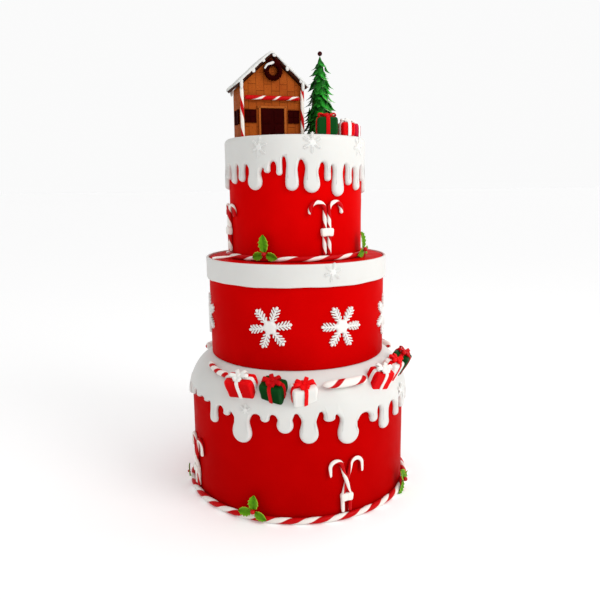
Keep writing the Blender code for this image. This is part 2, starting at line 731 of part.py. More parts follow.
def roof_outline(lift, thick, over):
    """Chevron that lies over the gable, lift above it, running past the wall by over."""
    slope = (HOUSE_APEX - HOUSE_EAVE) / HOUSE_HALF
    length = math.hypot(1.0, slope)
    half = HOUSE_HALF + over
    low = HOUSE_APEX - slope * half
    up = lift * length
    rise = up + thick * length
    return [(-half, low + up), (0.0, HOUSE_APEX + up), (half, low + up),
            (half, low + rise), (0.0, HOUSE_APEX + rise), (-half, low + rise)]


def snow_fringe(lift, thick, over, drops):
    """Snow seen on the gable: the roof's line above, a scalloped edge below."""
    slope = (HOUSE_APEX - HOUSE_EAVE) / HOUSE_HALF
    length = math.hypot(1.0, slope)
    half = HOUSE_HALF + over
    rise = lift * length + thick * length
    outline = [(half, HOUSE_APEX - slope * half + rise), (0.0, HOUSE_APEX + rise),
               (-half, HOUSE_APEX - slope * half + rise)]
    edge = []
    count = len(drops)
    for index, drop in enumerate(drops):
        for share, fall in ((0.0, 0.0008), (0.35, drop), (0.7, drop)):
            across = -half + 2 * half * (index + share) / count
            edge.append((across, HOUSE_APEX - slope * abs(across) + lift * length - fall))
    edge.append((half, HOUSE_APEX - slope * half + lift * length - 0.0008))
    return outline + edge


def house(group, colours):
    frame = house_frame()
    middle = frame @ Matrix.Translation((0, HOUSE_DEEP / 2, 0))
    walls = plate("house_walls", gable(HOUSE_HALF, HOUSE_EAVE, HOUSE_APEX), HOUSE_DEEP, middle, group)
    finish(walls, colours["ginger"], group, smooth=False)
    roof = plate("house_roof", roof_outline(GAP, ROOF_THICK, ROOF_OVER), HOUSE_DEEP + 2 * ROOF_OVER, middle, group)
    finish(roof, colours["dark"], group, smooth=False)
    lift = 2 * GAP + ROOF_THICK
    deep = HOUSE_DEEP + 2 * ROOF_OVER
    slab = plate("house_snow", roof_outline(lift, SNOW_THICK, ROOF_OVER + 0.0005), deep + 0.0040, middle, group)
    front = frame @ Matrix.Translation((0, -ROOF_OVER - GAP - 0.0010, 0))
    back = frame @ Matrix.Translation((0, HOUSE_DEEP + ROOF_OVER + GAP + 0.0010, 0))
    drops = (0.0030, 0.0048, 0.0034, 0.0052, 0.0046, 0.0030, 0.0050, 0.0036)
    fringes = [plate("fringe", snow_fringe(lift, SNOW_THICK, ROOF_OVER + 0.0005, drops), 0.0020, front, group),
               plate("fringe", snow_fringe(lift, SNOW_THICK, ROOF_OVER + 0.0005, drops[::-1]), 0.0020, back, group)]
    finish(joined("house_snow", [slab] + fringes, group), colours["white"], group, smooth=False)
    face = frame @ Matrix.Translation((0, -PANEL_THICK / 2 - GAP, 0))
    door = box("house_door", (DOOR_WIDE, PANEL_THICK, DOOR_HIGH), face, group)
    finish(door, colours["dark"], group, smooth=False)
    for name, across in (("house_window_left", -WINDOW_OFFSET), ("house_window_right", WINDOW_OFFSET)):
        spot = face @ Matrix.Translation((across, 0, WINDOW_FOOT))
        finish(box(name, (WINDOW_WIDE, PANEL_THICK, WINDOW_HIGH), spot, group), colours["dark"], group, False)
    side = frame @ Matrix.Translation((-HOUSE_HALF - PANEL_THICK / 2 - GAP, HOUSE_DEEP * 0.5, WINDOW_FOOT))
    shutter = box("house_window_side", (PANEL_THICK, WINDOW_WIDE * 1.3, WINDOW_HIGH * 1.1), side, group)
    finish(shutter, colours["dark"], group, smooth=False)
    wreath_place = frame @ Matrix.Translation((WREATH_ACROSS, -WREATH_TUBE - GAP, WREATH_HEIGHT))
    bpy.ops.mesh.primitive_torus_add(major_segments=12, minor_segments=6, major_radius=WREATH_RING,
                                     minor_radius=WREATH_TUBE)
    wreath = bpy.context.object
    wreath.name = "house_wreath"
    wreath.matrix_world = wreath_place @ Matrix.Rotation(math.pi / 2, 4, "X")
    finish(settle(wreath), colours["dark"], group)
    slope = (HOUSE_APEX - HOUSE_EAVE) / HOUSE_HALF
    for name, side in (("house_post_left", -1), ("house_post_right", 1)):
        across = side * (HOUSE_HALF + 0.0006)
        deep = -POST - GAP
        top = HOUSE_APEX - slope * (HOUSE_HALF + POST + 0.0006) - 0.0006
        ends = [frame @ Vector((across, deep, 0.0)), frame @ Vector((across, deep, top))]
        finish(rod(name, ends, POST, group, 2), colours["stripe"], group)
    reach = HOUSE_HALF + 0.0006 - POST - GAP - 0.0001
    rail = [frame @ Vector((-reach, -POST - GAP, RAIL_HEIGHT)), frame @ Vector((reach, -POST - GAP, RAIL_HEIGHT))]
    finish(rod("house_rail", rail, POST * 0.9, group, 2), colours["stripe"], group)


def tree(group, green, dark):
    """Fir tree: drooping skirts, each wider below, with a spiked edge."""
    shape = bmesh.new()
    centre = Vector((*TREE_PLACE, DECK + GAP))
    count = 2 * TREE_SPIKES
    rows = []

    def row(radius, height, spike, droop, shift):
        vertices = []
        for step in range(count):
            out = step % 2 == 0
            turn = 2 * math.pi * (step + shift) / count
            reach = radius * (1 + spike if out else 1 - spike)
            down = droop if out else 0.0
            place = centre + Vector((reach * math.cos(turn), reach * math.sin(turn), height - down))
            vertices.append(shape.verts.new(place))
        rows.append(vertices)

    row(TREE_RADIUS * 0.50, 0.0, 0.0, 0.0, 0)
    step_high = (TREE_HIGH - 0.006) / TREE_LAYERS
    for layer in range(TREE_LAYERS):
        size = 1 - layer / (TREE_LAYERS + 0.35)
        low = 0.0052 + layer * step_high
        row(TREE_RADIUS * size * 0.92, low, 0.16, 0.0042 * size, layer % 2)
        neck = 1 - (layer + 1) / (TREE_LAYERS + 0.35)
        row(TREE_RADIUS * neck * 0.62, low + step_high * 0.74, 0.0, 0.0, layer % 2)
    for low, high in zip(rows, rows[1:]):
        for k in range(count):
            after = (k + 1) % count
            shape.faces.new((low[k], low[after], high[after], high[k]))
    shape.faces.new(rows[0])
    tip = shape.verts.new(centre + Vector((0, 0, TREE_HIGH)))
    for k in range(count):
        shape.faces.new((rows[-1][k], rows[-1][(k + 1) % count], tip))
    finish(bmesh_object("tree", shape, group), green, group)
    ball = bmesh.new()
    bmesh.ops.create_icosphere(ball, subdivisions=2, radius=TREE_BALL)
    lift = Matrix.Translation(centre + Vector((0, 0, TREE_HIGH + GAP + TREE_BALL)))
    bmesh.ops.transform(ball, matrix=lift, verts=ball.verts)
    finish(bmesh_object("tree_ball", ball, group), dark, group)


def main():
    clear_scene()
    group = new_collection("christmas_cake")
    cutters = new_collection("cutters")
    red = icing("red_icing", (0.58, 0.004, 0.006), 0.38)
    white = icing("white_icing", (0.85, 0.83, 0.80), 0.5)
    rope_colour = icing("red_white_twist", (0.75, 0.25, 0.25), 0.4)
    leaf_green = icing("holly_green", (0.12, 0.36, 0.02), 0.45)
    tree_green = icing("tree_green", (0.01, 0.14, 0.03), 0.6)
    ginger = icing("gingerbread", (0.42, 0.12, 0.03), 0.75)
    dark = icing("dark_biscuit", (0.06, 0.005, 0.004), 0.6)
    paper = {"red": icing("red_paste", (0.62, 0.01, 0.015), 0.4),
             "green": icing("green_paste", (0.01, 0.11, 0.03), 0.4),
             "white": icing("white_paste", (0.85, 0.83, 0.80), 0.4),
             "pink": icing("pink_paste", (0.70, 0.03, 0.08), 0.4)}
    tiers(group, red)
    icing_bottom(group, white)
    icing_top(group, white)
    band_middle(group, white)
    ropes(group, rope_colour)
    for index, (angle, height, turn) in enumerate(FLAKES, start=1):
        snowflake(f"snowflake_{index}", angle, height, turn, group, white)
    canes(group, rope_colour)
    sprigs(group, leaf_green)
    gifts(group, cutters, paper)
    house(group, {"ginger": ginger, "dark": dark, "white": white, "stripe": rope_colour})
    tree(group, tree_green, dark)


main()
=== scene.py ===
import math
import random

import bpy
import numpy as np
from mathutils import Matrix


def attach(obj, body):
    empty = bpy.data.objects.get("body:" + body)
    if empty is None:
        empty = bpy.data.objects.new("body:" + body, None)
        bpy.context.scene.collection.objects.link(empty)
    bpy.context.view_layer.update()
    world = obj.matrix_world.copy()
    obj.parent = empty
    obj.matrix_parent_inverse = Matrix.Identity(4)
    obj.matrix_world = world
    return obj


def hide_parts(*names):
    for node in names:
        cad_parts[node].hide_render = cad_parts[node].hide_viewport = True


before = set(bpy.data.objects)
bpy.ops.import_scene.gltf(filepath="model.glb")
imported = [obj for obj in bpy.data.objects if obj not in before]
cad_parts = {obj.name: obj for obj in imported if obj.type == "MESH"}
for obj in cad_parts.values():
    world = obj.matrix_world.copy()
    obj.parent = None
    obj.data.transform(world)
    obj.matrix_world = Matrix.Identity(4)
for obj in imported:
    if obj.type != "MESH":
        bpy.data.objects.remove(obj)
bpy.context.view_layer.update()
print("frame loaded:", len(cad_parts), "nodes")

# The cake's main sizes, in metres, as its solids have them.
cake = {
    "lowRadius": 0.127, "midRadius": 0.1025, "topRadius": 0.0762,
    "midFoot": 0.1590, "topFoot": 0.2720, "deck": 0.4040,
    "skin": 0.0040, "shoulderReach": 0.045, "shoulderRise": 0.050,
}
house = {"place": (-0.0246, -0.0240), "turn": 17.0, "half": 0.0335, "deep": 0.0460, "eave": 0.0555,
         "apex": 0.0850, "roof": 0.0026, "over": 0.0042, "snow": 0.0022, "post": 0.0027, "rail": 0.0420}
# How far pieces that touch stand apart.
clear = 0.0003
fullTurn = 2 * math.pi


# Surfaces worked out with numpy.

def joined(*parts):
    # Points from their coordinates, each a number, a row, a column or a grid.
    return np.stack(np.broadcast_arrays(*parts), -1)


def around(radius, angle, height):
    # Points round the cake: angle in degrees from the front towards +X.
    turn = np.radians(angle)
    return joined(radius * np.sin(turn), -radius * np.cos(turn), height)


def unit(vectors):
    # Vectors divided by their lengths.
    return vectors / np.maximum(np.linalg.norm(vectors, axis=-1, keepdims=True), 1e-12)


def outward(points):
    # Level directions away from the cake's axis.
    return unit(points * np.array([1.0, 1.0, 0.0]))


def circleTurns(count):
    # One row of even turns round a circle, in radians.
    return np.linspace(0, fullTurn, count, endpoint=False)[None, :]


def softPower(value, power):
    # Size to a power, sign kept: powers below 1 square a circle off.
    return np.sign(value) * np.abs(value) ** power


def gridShape(points, loop=False, fields=None):
    # Columns run round the surface and rows along it; each end ring closes on its own middle point.
    points = np.asarray(points, float)
    rows, cols = points.shape[:2]
    index = np.arange(rows * cols).reshape(rows, cols)
    near = index if loop else index[:-1]
    far = np.roll(index, -1, 0) if loop else index[1:]
    quads = joined(near, np.roll(near, -1, 1), np.roll(far, -1, 1), far)
    values = {name: np.broadcast_to(field, (rows, cols)).reshape(-1).astype(float)
              for name, field in (fields or {}).items()}
    flat = points.reshape(-1, 3)
    tris = np.empty((0, 3), int)
    for ring, order in () if loop else ((index[0], 1), (index[-1], -1)):
        tris = np.concatenate([tris, joined(len(flat), np.roll(ring, -1), ring)[:, ::order]])
        flat = np.concatenate([flat, flat[ring].mean(0, keepdims=True)])
        for name in values:
            values[name] = np.append(values[name], values[name][ring].mean())
    return {"points": flat, "quads": quads.reshape(-1, 4), "tris": tris, "fields": values, "finish": 0}


def faceOut(shape):
    # Turns a closed surface's faces outwards: the volume they enclose has to come out positive.
    points = shape["points"] - shape["points"].mean(0)
    quads, tris = shape["quads"], shape["tris"]
    corners = np.concatenate([quads[:, [0, 1, 2]], quads[:, [0, 2, 3]], tris])
    a, b, c = (points[corners[:, k]] for k in range(3))
    if np.einsum("ij,ij->i", a, np.cross(b, c)).sum() < 0:
        shape["quads"] = quads[:, ::-1]
        shape["tris"] = tris[:, ::-1]


def makePiece(name, shapes, finishes, nodes, crease=None):
    # One object from closed shapes, in place, riding on the cake.
    start = 0
    faces = {"quads": [], "tris": []}
    for shape in shapes:
        faceOut(shape)
        for kind in faces:
            faces[kind] += (shape[kind] + start).tolist()
        start += len(shape["points"])
    mesh = bpy.data.meshes.new(name)
    points = np.concatenate([shape["points"] for shape in shapes])
    mesh.from_pydata(points.tolist(), [], faces["quads"] + faces["tris"])
    marks = [np.full(len(shape[kind]), shape["finish"]) for kind in faces for shape in shapes]
    mesh.polygons.foreach_set("material_index", np.concatenate(marks).astype(np.int32))
    for field in sorted({field for shape in shapes for field in shape["fields"]}):
        values = [shape["fields"].get(field, np.zeros(len(shape["points"]))) for shape in shapes]
        layer = mesh.attributes.new(field, "FLOAT", "POINT")
        layer.data.foreach_set("value", np.concatenate(values).astype(np.float32))
    for finish in finishes:
        mesh.materials.append(finish)
    mesh.update()
    mesh.shade_smooth()
    if crease:
        mesh.set_sharp_from_angle(angle=math.radians(crease))
    piece = bpy.data.objects.new(name, mesh)
    bpy.context.scene.collection.objects.link(piece)
    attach(piece, "root")
    if nodes:
        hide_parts(*nodes)


def wobble(points, size, amount, seed):
    # Smooth unevenness: the mean of sine waves in seeded directions, about size long.
    draw = np.random.default_rng(seed)
    waves = draw.normal(size=(7, 3))
    waves = unit(waves) * draw.uniform(0.6, 1.5, (7, 1)) * fullTurn / size
    phases = draw.uniform(0, fullTurn, 7)
    return amount * np.sin(points @ waves.T + phases).mean(-1) * 1.6


def pathLength(path):
    # Length from the path's start to each of its points.
    return np.concatenate([[0.0], np.cumsum(np.linalg.norm(np.diff(path, axis=0), axis=1))])


def smoothPath(points, count):
    # Catmull-Rom curve through the points, cut into even lengths.
    points = np.asarray(points, float)
    guide = np.concatenate([2 * points[:1] - points[1:2], points, 2 * points[-1:] - points[-2:-1]])
    t = np.linspace(0, 1, 20, endpoint=False)[None, :, None]
    a, b, c, d = guide[:-3, None], guide[1:-2, None], guide[2:-1, None], guide[3:, None]
    fine = 0.5 * (2 * b + (c - a) * t + (2 * a - 5 * b + 4 * c - d) * t ** 2
                  + (3 * b - 3 * c + d - a) * t ** 3)
    fine = np.concatenate([fine.reshape(-1, points.shape[1]), points[-1:]])
    length = pathLength(fine)
    even = np.linspace(0, length[-1], count)
    return joined(*(np.interp(even, length, column) for column in fine.T))


def sweep(path, side, section, closed=False, fields=None):
    # A section carried along a path: x runs along side, y along the path's direction crossed with side.
    ahead = unit(np.roll(path, -1, 0) - np.roll(path, 1, 0) if closed else np.gradient(path, axis=0))
    side = np.broadcast_to(side, path.shape)
    side = unit(side - (side * ahead).sum(-1, keepdims=True) * ahead)
    across = np.cross(ahead, side)
    points = path[:, None] + section[..., :1] * side[:, None] + section[..., 1:] * across[:, None]
    return gridShape(points, closed, fields)


def roundSection(radius, turn):
    # Ring of points, its radius free to change with the turn.
    return joined(radius * np.cos(turn), radius * np.sin(turn))


def roundEnds(length, radius):
    # Share of the full radius along a tube that closes in half balls.
    near = np.clip(np.minimum(length, length[-1] - length) / radius, 0.02, 1)
    return np.sqrt(1 - (1 - near) ** 2)[:, None]


def twistedTube(path, side, look, closed=False):
    # Tube of two strands: round section with a groove where the strands meet, which turns as it goes.
    # Marks are lengths at which the white strand faces side; else it turns evenly, once in each pitch.
    length = pathLength(path)
    if "marks" in look:
        marks = np.array(look["marks"])
        marks = np.concatenate([[2 * marks[0] - marks[1]], marks, [2 * marks[-1] - marks[-2]]])
        turns = np.interp(length, marks, np.arange(len(marks)) - 1.0)
    else:
        total = length[-1] + np.linalg.norm(path[0] - path[-1])
        pitch = total / round(total / look["pitch"]) if closed else look["pitch"]
        turns = length / pitch - look["phase"] / fullTurn
    turn = circleTurns(look["sides"])
    phase = turn + fullTurn * turns[:, None]
    edge = math.pi * look["white"]
    fromEdge = np.abs(np.abs((phase + math.pi) % fullTurn - math.pi) - edge)
    radius = look["radius"] * (1 - look["groove"] * np.exp(-(fromEdge / 0.42) ** 2))
    if "taper" in look:
        reach, least = look["taper"]
        share = np.clip(length / reach, 0, 1)[:, None]
        radius = radius * (least + (1 - least) * share * (2 - share))
    if not closed:
        radius = radius * roundEnds(length, look["radius"])
    return sweep(path, side, roundSection(radius, turn), closed, {"twist": np.cos(phase) - math.cos(edge)})


def turnedShape(profile, count, size, amount, seed):
    # Turned surface, a little uneven: a profile of (radius, height) run round the axis.
    angle = np.linspace(0, 360, count, endpoint=False)[None, :]
    points = around(profile[:, :1], angle, profile[:, 1:])
    return gridShape(points + outward(points) * wobble(points, size, amount, seed)[..., None])


def denseLine(corners, spacing):
    # Straight runs between corners, cut about every spacing.
    corners = np.asarray(corners, float)
    runs = [np.linspace(a, b, max(2, int(math.dist(a, b) / spacing) + 1))[:-1]
            for a, b in zip(corners, corners[1:])]
    return np.concatenate(runs + [corners[-1:]])


def arcLine(x, z, reach, start, stop, count):
    # Arc round a middle from start to stop, in degrees.
    turn = np.radians(np.linspace(start, stop, count))
    return joined(x + reach * np.cos(turn), z + reach * np.sin(turn))


def level(height, *radii):
    # Profile points at one height.
    return [(radius, height) for radius in radii]


def pillow(size, matrix, sides=24, rows=15, power=0.62):
    # Soft block: a ball's two angles with their sines and cosines raised to a power.
    lift = np.linspace(-math.pi / 2, math.pi / 2, rows + 2)[1:-1, None]
    turn = circleTurns(sides)
    reach = softPower(np.cos(lift), power)
    ball = joined(reach * softPower(np.cos(turn), power), reach * softPower(np.sin(turn), power),
                  softPower(np.sin(lift), power))
    return gridShape(place(ball * np.array(size) / 2, matrix))


def place(points, matrix):
    # Points turned and moved by a matrix.
    return points @ matrix[:3, :3].T + matrix[:3, 3]


def moved(shape, matrix):
    # A finished shape turned and moved by a matrix.
    shape["points"] = place(shape["points"], matrix)
    return shape


def turnAbout(axis, degrees):
    # Turn about one axis.
    c, s = math.cos(math.radians(degrees)), math.sin(math.radians(degrees))
    i, j = {"X": (1, 2), "Y": (2, 0), "Z": (0, 1)}[axis]
    matrix = np.eye(4)
    matrix[i, i], matrix[i, j], matrix[j, i], matrix[j, j] = c, -s, s, c
    return matrix


def shift(x, y, z):
    # Move along the three axes.
    matrix = np.eye(4)
    matrix[:3, 3] = x, y, z
    return matrix


def wallFrame(radius, angle, height):
    # X runs along the wall to the right, Y into the cake, Z up.
    return shift(*around(radius, angle, height)) @ turnAbout("Z", angle)


# Finishes.

def feed(tree, socket, value):
    # A socket takes a link from another node, or else a plain value.
    if isinstance(value, bpy.types.NodeSocket):
        tree.links.new(value, socket)
    else:
        socket.default_value = value


def addNode(tree, kind, settings=None, **inputs):
    # Node with its settings, and its inputs by name.
    node = tree.nodes.new(kind)
    for key, value in (settings or {}).items():
        setattr(node, key, value)
    for key, value in inputs.items():
        feed(tree, node.inputs[key.replace("_", " ")], value)
    return node


def mathValue(tree, operation, *values):
    # Result of one sum on plain values or other nodes' outputs.
    node = addNode(tree, "ShaderNodeMath", {"operation": operation})
    for socket, value in zip(node.inputs, values):
        feed(tree, socket, value)
    return node.outputs[0]


def newFinish(name, roughness, shine, tint=(1.0, 1.0, 1.0)):
    # Plain material: how dull it is, how much it reflects and in what tint.
    finish = bpy.data.materials.new(name)
    finish.use_nodes = True
    shader = finish.node_tree.nodes["Principled BSDF"]
    shader.inputs["Roughness"].default_value = roughness
    shader.inputs["Specular IOR Level"].default_value = shine
    shader.inputs["Specular Tint"].default_value = (*tint, 1.0)
    return finish, finish.node_tree, shader


def letLightIn(shader, weight, radius, scale):
    # Share of the light that sinks in, how far each colour goes, and the scale of that.
    shader.inputs["Subsurface Weight"].default_value = weight
    shader.inputs["Subsurface Radius"].default_value = radius
    shader.inputs["Subsurface Scale"].default_value = scale


def objectSpot(tree):
    # Place on the object, which is the place on the cake.
    return addNode(tree, "ShaderNodeTexCoord").outputs["Object"]


def fieldValue(tree, name):
    # Value that a shape's field holds.
    return addNode(tree, "ShaderNodeAttribute", {"attribute_name": name}).outputs["Fac"]


def noiseValue(tree, scale, detail, roughness=0.5):
    # Noise in space.
    noise = addNode(tree, "ShaderNodeTexNoise", Vector=objectSpot(tree), Scale=scale, Detail=detail,
                    Roughness=roughness)
    return noise.outputs["Fac"]


def dimmed(colour, share):
    # Colour times a share.
    return tuple(share * part for part in colour)


def blendColours(tree, factor, first, second):
    # From the first colour to the second as the factor goes from 0 to 1.
    mix = addNode(tree, "ShaderNodeMix", {"data_type": "RGBA"})
    for socket, value in zip((mix.inputs[0], mix.inputs[6], mix.inputs[7]), (factor, first, second)):
        feed(tree, socket, (*value, 1.0) if isinstance(value, tuple) else value)
    return mix.outputs[2]


def spread(tree, value, low, high, newLow=0.0, newHigh=1.0):
    # Range from low to high stretched to the new range, and held inside it.
    ranged = addNode(tree, "ShaderNodeMapRange", {"clamp": True}, Value=value, From_Min=low, From_Max=high,
                     To_Min=newLow, To_Max=newHigh)
    return ranged.outputs["Result"]


def bumpFrom(tree, shader, height, distance, strength=1.0, below=None):
    # Relief from a height, on top of the relief below.
    bump = addNode(tree, "ShaderNodeBump", Height=height, Distance=distance, Strength=strength)
    if below:
        tree.links.new(below.outputs["Normal"], bump.inputs["Normal"])
    tree.links.new(bump.outputs["Normal"], shader.inputs["Normal"])
    return bump


def pasteFinish(name, colour, deeper, roughness, bloom, grain, shine=0.06, tint=(1.0, 1.0, 1.0), foot=1.0):
    # Sugar paste: two close tones in soft clouds, a satin face, fine grain and shallow dents from the hands.
    # The colour is darkened evenly towards the cake's foot, down to the share foot: painted shade, standing
    # in for light that falls off towards the bottom.
    finish, tree, shader = newFinish(name, roughness, shine, tint)
    tone = blendColours(tree, spread(tree, noiseValue(tree, 26, 4), 0.32, 0.68), colour, deeper)
    # Painted shade: the colour is blended towards black lower down the cake.
    if foot < 1:
        height = addNode(tree, "ShaderNodeSeparateXYZ", Vector=objectSpot(tree)).outputs["Z"]
        tone = blendColours(tree, spread(tree, height, 0.0, 0.36, foot, 1.0), (0.0, 0.0, 0.0), tone)
    tree.links.new(tone, shader.inputs["Base Color"])
    dull = spread(tree, noiseValue(tree, 70, 3), 0.3, 0.7, roughness - 0.06, roughness + 0.08)
    tree.links.new(dull, shader.inputs["Roughness"])
    letLightIn(shader, bloom, (0.006, 0.0035, 0.0025), 0.35)
    dents = bumpFrom(tree, shader, noiseValue(tree, 45, 2), 0.0005, 0.35)
    bumpFrom(tree, shader, noiseValue(tree, 900, 4, 0.6), grain, 1.0, dents)
    return finish


def twistFinish(name, white, red, roughness=0.32):
    # Two coloured strands: the strand is read from the attribute that the twist writes.
    finish, tree, shader = newFinish(name, roughness, 0.07)
    side = spread(tree, fieldValue(tree, "twist"), -0.10, 0.10)
    clouds = noiseValue(tree, 160, 3)
    reds = blendColours(tree, clouds, red, dimmed(red, 0.72))
    whites = blendColours(tree, clouds, white, dimmed(white, 0.93))
    tree.links.new(blendColours(tree, side, reds, whites), shader.inputs["Base Color"])
    letLightIn(shader, 0.06, (0.003, 0.002, 0.002), 0.3)
    bumpFrom(tree, shader, noiseValue(tree, 700, 4, 0.6), 0.00005)
    return finish


def leafFinish(name, deep, bright, rim, mottle=0.8):
    # Leaf: deep green by the midrib, brighter outwards, with a pale rim and fine side veins. Its clouds are
    # the bright green times mottle.
    finish, tree, shader = newFinish(name, 0.42, 0.12, (0.5, 1.0, 0.5))
    across = fieldValue(tree, "across")
    body = blendColours(tree, spread(tree, across, 0.02, 0.55), deep, bright)
    clouds = spread(tree, noiseValue(tree, 220, 3), 0.35, 0.65)
    body = blendColours(tree, clouds, body, dimmed(bright, mottle))
    edge = blendColours(tree, spread(tree, across, 0.74, 1.0), body, rim)
    tree.links.new(edge, shader.inputs["Base Color"])
    lean = mathValue(tree, "SUBTRACT", fieldValue(tree, "along"), across)
    veins = mathValue(tree, "SINE", mathValue(tree, "MULTIPLY", lean, 34.0))
    bumpFrom(tree, shader, veins, 0.00012, 0.6)
    letLightIn(shader, 0.05, (0.002, 0.003, 0.001), 0.3)
    return finish


def biscuitFinish(name, colour, baked, roughness=0.62, shine=0.04, planks=0.0):
    # Baked dough: browner patches, tiny pits and flecks of spice, and scored lines as between planks.
    finish, tree, shader = newFinish(name, roughness, shine)
    patches = spread(tree, noiseValue(tree, 60, 5, 0.6), 0.3, 0.7)
    flecks = spread(tree, noiseValue(tree, 1100, 2), 0.63, 0.72)
    tone = blendColours(tree, flecks, blendColours(tree, patches, colour, baked), dimmed(baked, 0.35))
    tree.links.new(tone, shader.inputs["Base Color"])
    coarse = bumpFrom(tree, shader, noiseValue(tree, 180, 4, 0.6), 0.0003, 0.5)
    fine = bumpFrom(tree, shader, noiseValue(tree, 1300, 3, 0.6), 0.00010, 0.9, coarse)
    if planks:
        plankLines(tree, shader, tone, dimmed(baked, 0.62), planks, fine)
    return finish


def plankLines(tree, shader, tone, line, wide, below):
    # Upright planks with staggered ends: a brick pattern stood on its side, darker and sunk at its joints.
    spot = addNode(tree, "ShaderNodeMapping", {"vector_type": "TEXTURE"}, Vector=objectSpot(tree),
                   Rotation=(0.0, 0.0, math.radians(house["turn"])), Location=(*house["place"], cake["deck"]))
    parts = addNode(tree, "ShaderNodeSeparateXYZ", Vector=spot.outputs["Vector"]).outputs
    across = mathValue(tree, "ADD", parts["X"], parts["Y"])
    stood = addNode(tree, "ShaderNodeCombineXYZ", X=parts["Z"], Y=across).outputs["Vector"]
    bricks = addNode(tree, "ShaderNodeTexBrick", {"offset": 0.37}, Vector=stood, Scale=1.0,
                     Color1=(1, 1, 1, 1), Color2=(0.86, 0.86, 0.86, 1), Mortar=(0, 0, 0, 1),
                     Mortar_Size=0.00030, Mortar_Smooth=0.4, Brick_Width=0.0190, Row_Height=wide)
    tree.links.new(blendColours(tree, bricks.outputs["Color"], line, tone), shader.inputs["Base Color"])
    bumpFrom(tree, shader, bricks.outputs["Color"], 0.0005, 0.8, below)


# The red paste's last value, 0.65, paints shade on the tiers: the red darkens towards the foot.
redPaste = pasteFinish("redSugarPaste", (0.66, 0.0008, 0.0010), (0.60, 0.0004, 0.0006), 0.42, 0.0, 0.00003,
                       0.005, (1.0, 0.04, 0.04), 0.65)
whiteIcing = pasteFinish("whiteIcing", (0.70, 0.695, 0.67), (0.67, 0.67, 0.645), 0.42, 0.06, 0.00005, 0.12)
flakePaste = pasteFinish("snowflakePaste", (0.81, 0.80, 0.775), (0.75, 0.75, 0.73), 0.5, 0.05, 0.00008)
berryRed = pasteFinish("berryRed", (0.55, 0.003, 0.004), (0.38, 0.002, 0.003), 0.24, 0.03, 0.00003, 0.2)
darkBerry = pasteFinish("darkBerry", (0.045, 0.0015, 0.003), (0.028, 0.001, 0.002), 0.3, 0.0, 0.00003, 0.08)
ropeTwist = twistFinish("ropeTwist", (0.86, 0.82, 0.77), (0.60, 0.002, 0.004))
caneTwist = twistFinish("caneTwist", (0.88, 0.85, 0.79), (0.60, 0.002, 0.004), 0.28)
houseTwist = twistFinish("houseTwist", (0.86, 0.81, 0.74), (0.56, 0.002, 0.004), 0.3)
hollyLeaf = leafFinish("hollyLeaf", (0.045, 0.19, 0.003), (0.12, 0.34, 0.006), (0.34, 0.56, 0.04))
# On the fir the deep green is painted shade and the near white rim a painted highlight; makeTree sets how
# much of each a leaf gets by the way it faces the light.
firGreen = leafFinish("firGreen", (0.0008, 0.013, 0.0010), (0.046, 0.62, 0.050), (0.50, 1.0, 0.40), 0.24)
gingerbread = biscuitFinish("gingerbread", (0.40, 0.088, 0.0095), (0.30, 0.055, 0.006), planks=0.0088)
darkBiscuit = biscuitFinish("darkBiscuit", (0.032, 0.0008, 0.0006), (0.018, 0.0005, 0.0004), 0.6, 0.01)
roofBiscuit = biscuitFinish("roofBiscuit", (0.055, 0.014, 0.007), (0.032, 0.008, 0.004), 0.6, 0.02)
paleTrim = biscuitFinish("paleTrim", (0.43, 0.115, 0.020), (0.33, 0.075, 0.012))
# Gift pastes: colour, deeper tone, roughness, bloom.
giftTones = {
    "red": ((0.80, 0.002, 0.004), (0.66, 0.001, 0.003), 0.36, 0.0),
    "green": ((0.003, 0.066, 0.009), (0.0015, 0.042, 0.006), 0.38, 0.0),
    "ruby": ((0.60, 0.002, 0.004), (0.44, 0.001, 0.003), 0.36, 0.0),
    "white": ((0.84, 0.83, 0.79), (0.79, 0.78, 0.75), 0.40, 0.05),
    "crimson": ((0.66, 0.006, 0.045), (0.50, 0.004, 0.030), 0.36, 0.0),
}
giftPastes = {tone: pasteFinish("gift" + tone.title(), *look, 0.00004) for tone, look in giftTones.items()}
print("finishes ready")


# The three tiers.

shoulderCentre = cake["lowRadius"] + cake["skin"] - cake["shoulderReach"]
shoulderEnd = math.degrees(math.acos((cake["midRadius"] - shoulderCentre) / cake["shoulderReach"]))
shoulderFoot = cake["midFoot"] - cake["shoulderRise"] * math.sin(math.radians(shoulderEnd))
tierLook = {"spacing": 0.0022, "footRound": 0.0018, "seamRound": 0.0012, "edgeRound": 0.0040}


def shoulderPoint(turn, lift=0.0):
    # Quarter ellipse of the bottom tier's shoulder: turn in degrees up from the wall.
    turn = np.radians(turn)
    return (shoulderCentre + (cake["shoulderReach"] + lift) * np.cos(turn),
            shoulderFoot + (cake["shoulderRise"] + lift) * np.sin(turn))


def shoulderTurn(height):
    # The turn at which the shoulder is that high.
    return np.degrees(np.arcsin(np.clip((height - shoulderFoot) / cake["shoulderRise"], 0, 1)))


def wallProfile(radius, top, foot, soft, steps, inner):
    # Straight down the wall, round its foot and in to the axis.
    return [denseLine([(radius, top), (radius, foot + soft)], tierLook["spacing"]),
            arcLine(radius - soft, foot + soft, soft, 0, -90, steps)[1:], level(foot, inner, 0.001)]


def edgedProfile(lid, radius, top, foot, inner):
    # A lid, its rounded edge and the wall below.
    edge = tierLook["edgeRound"]
    return [lid, arcLine(radius - edge, top - edge, edge, 90, 0, 9),
            *wallProfile(radius, top - edge - 0.001, foot, tierLook["seamRound"], 5, inner)]


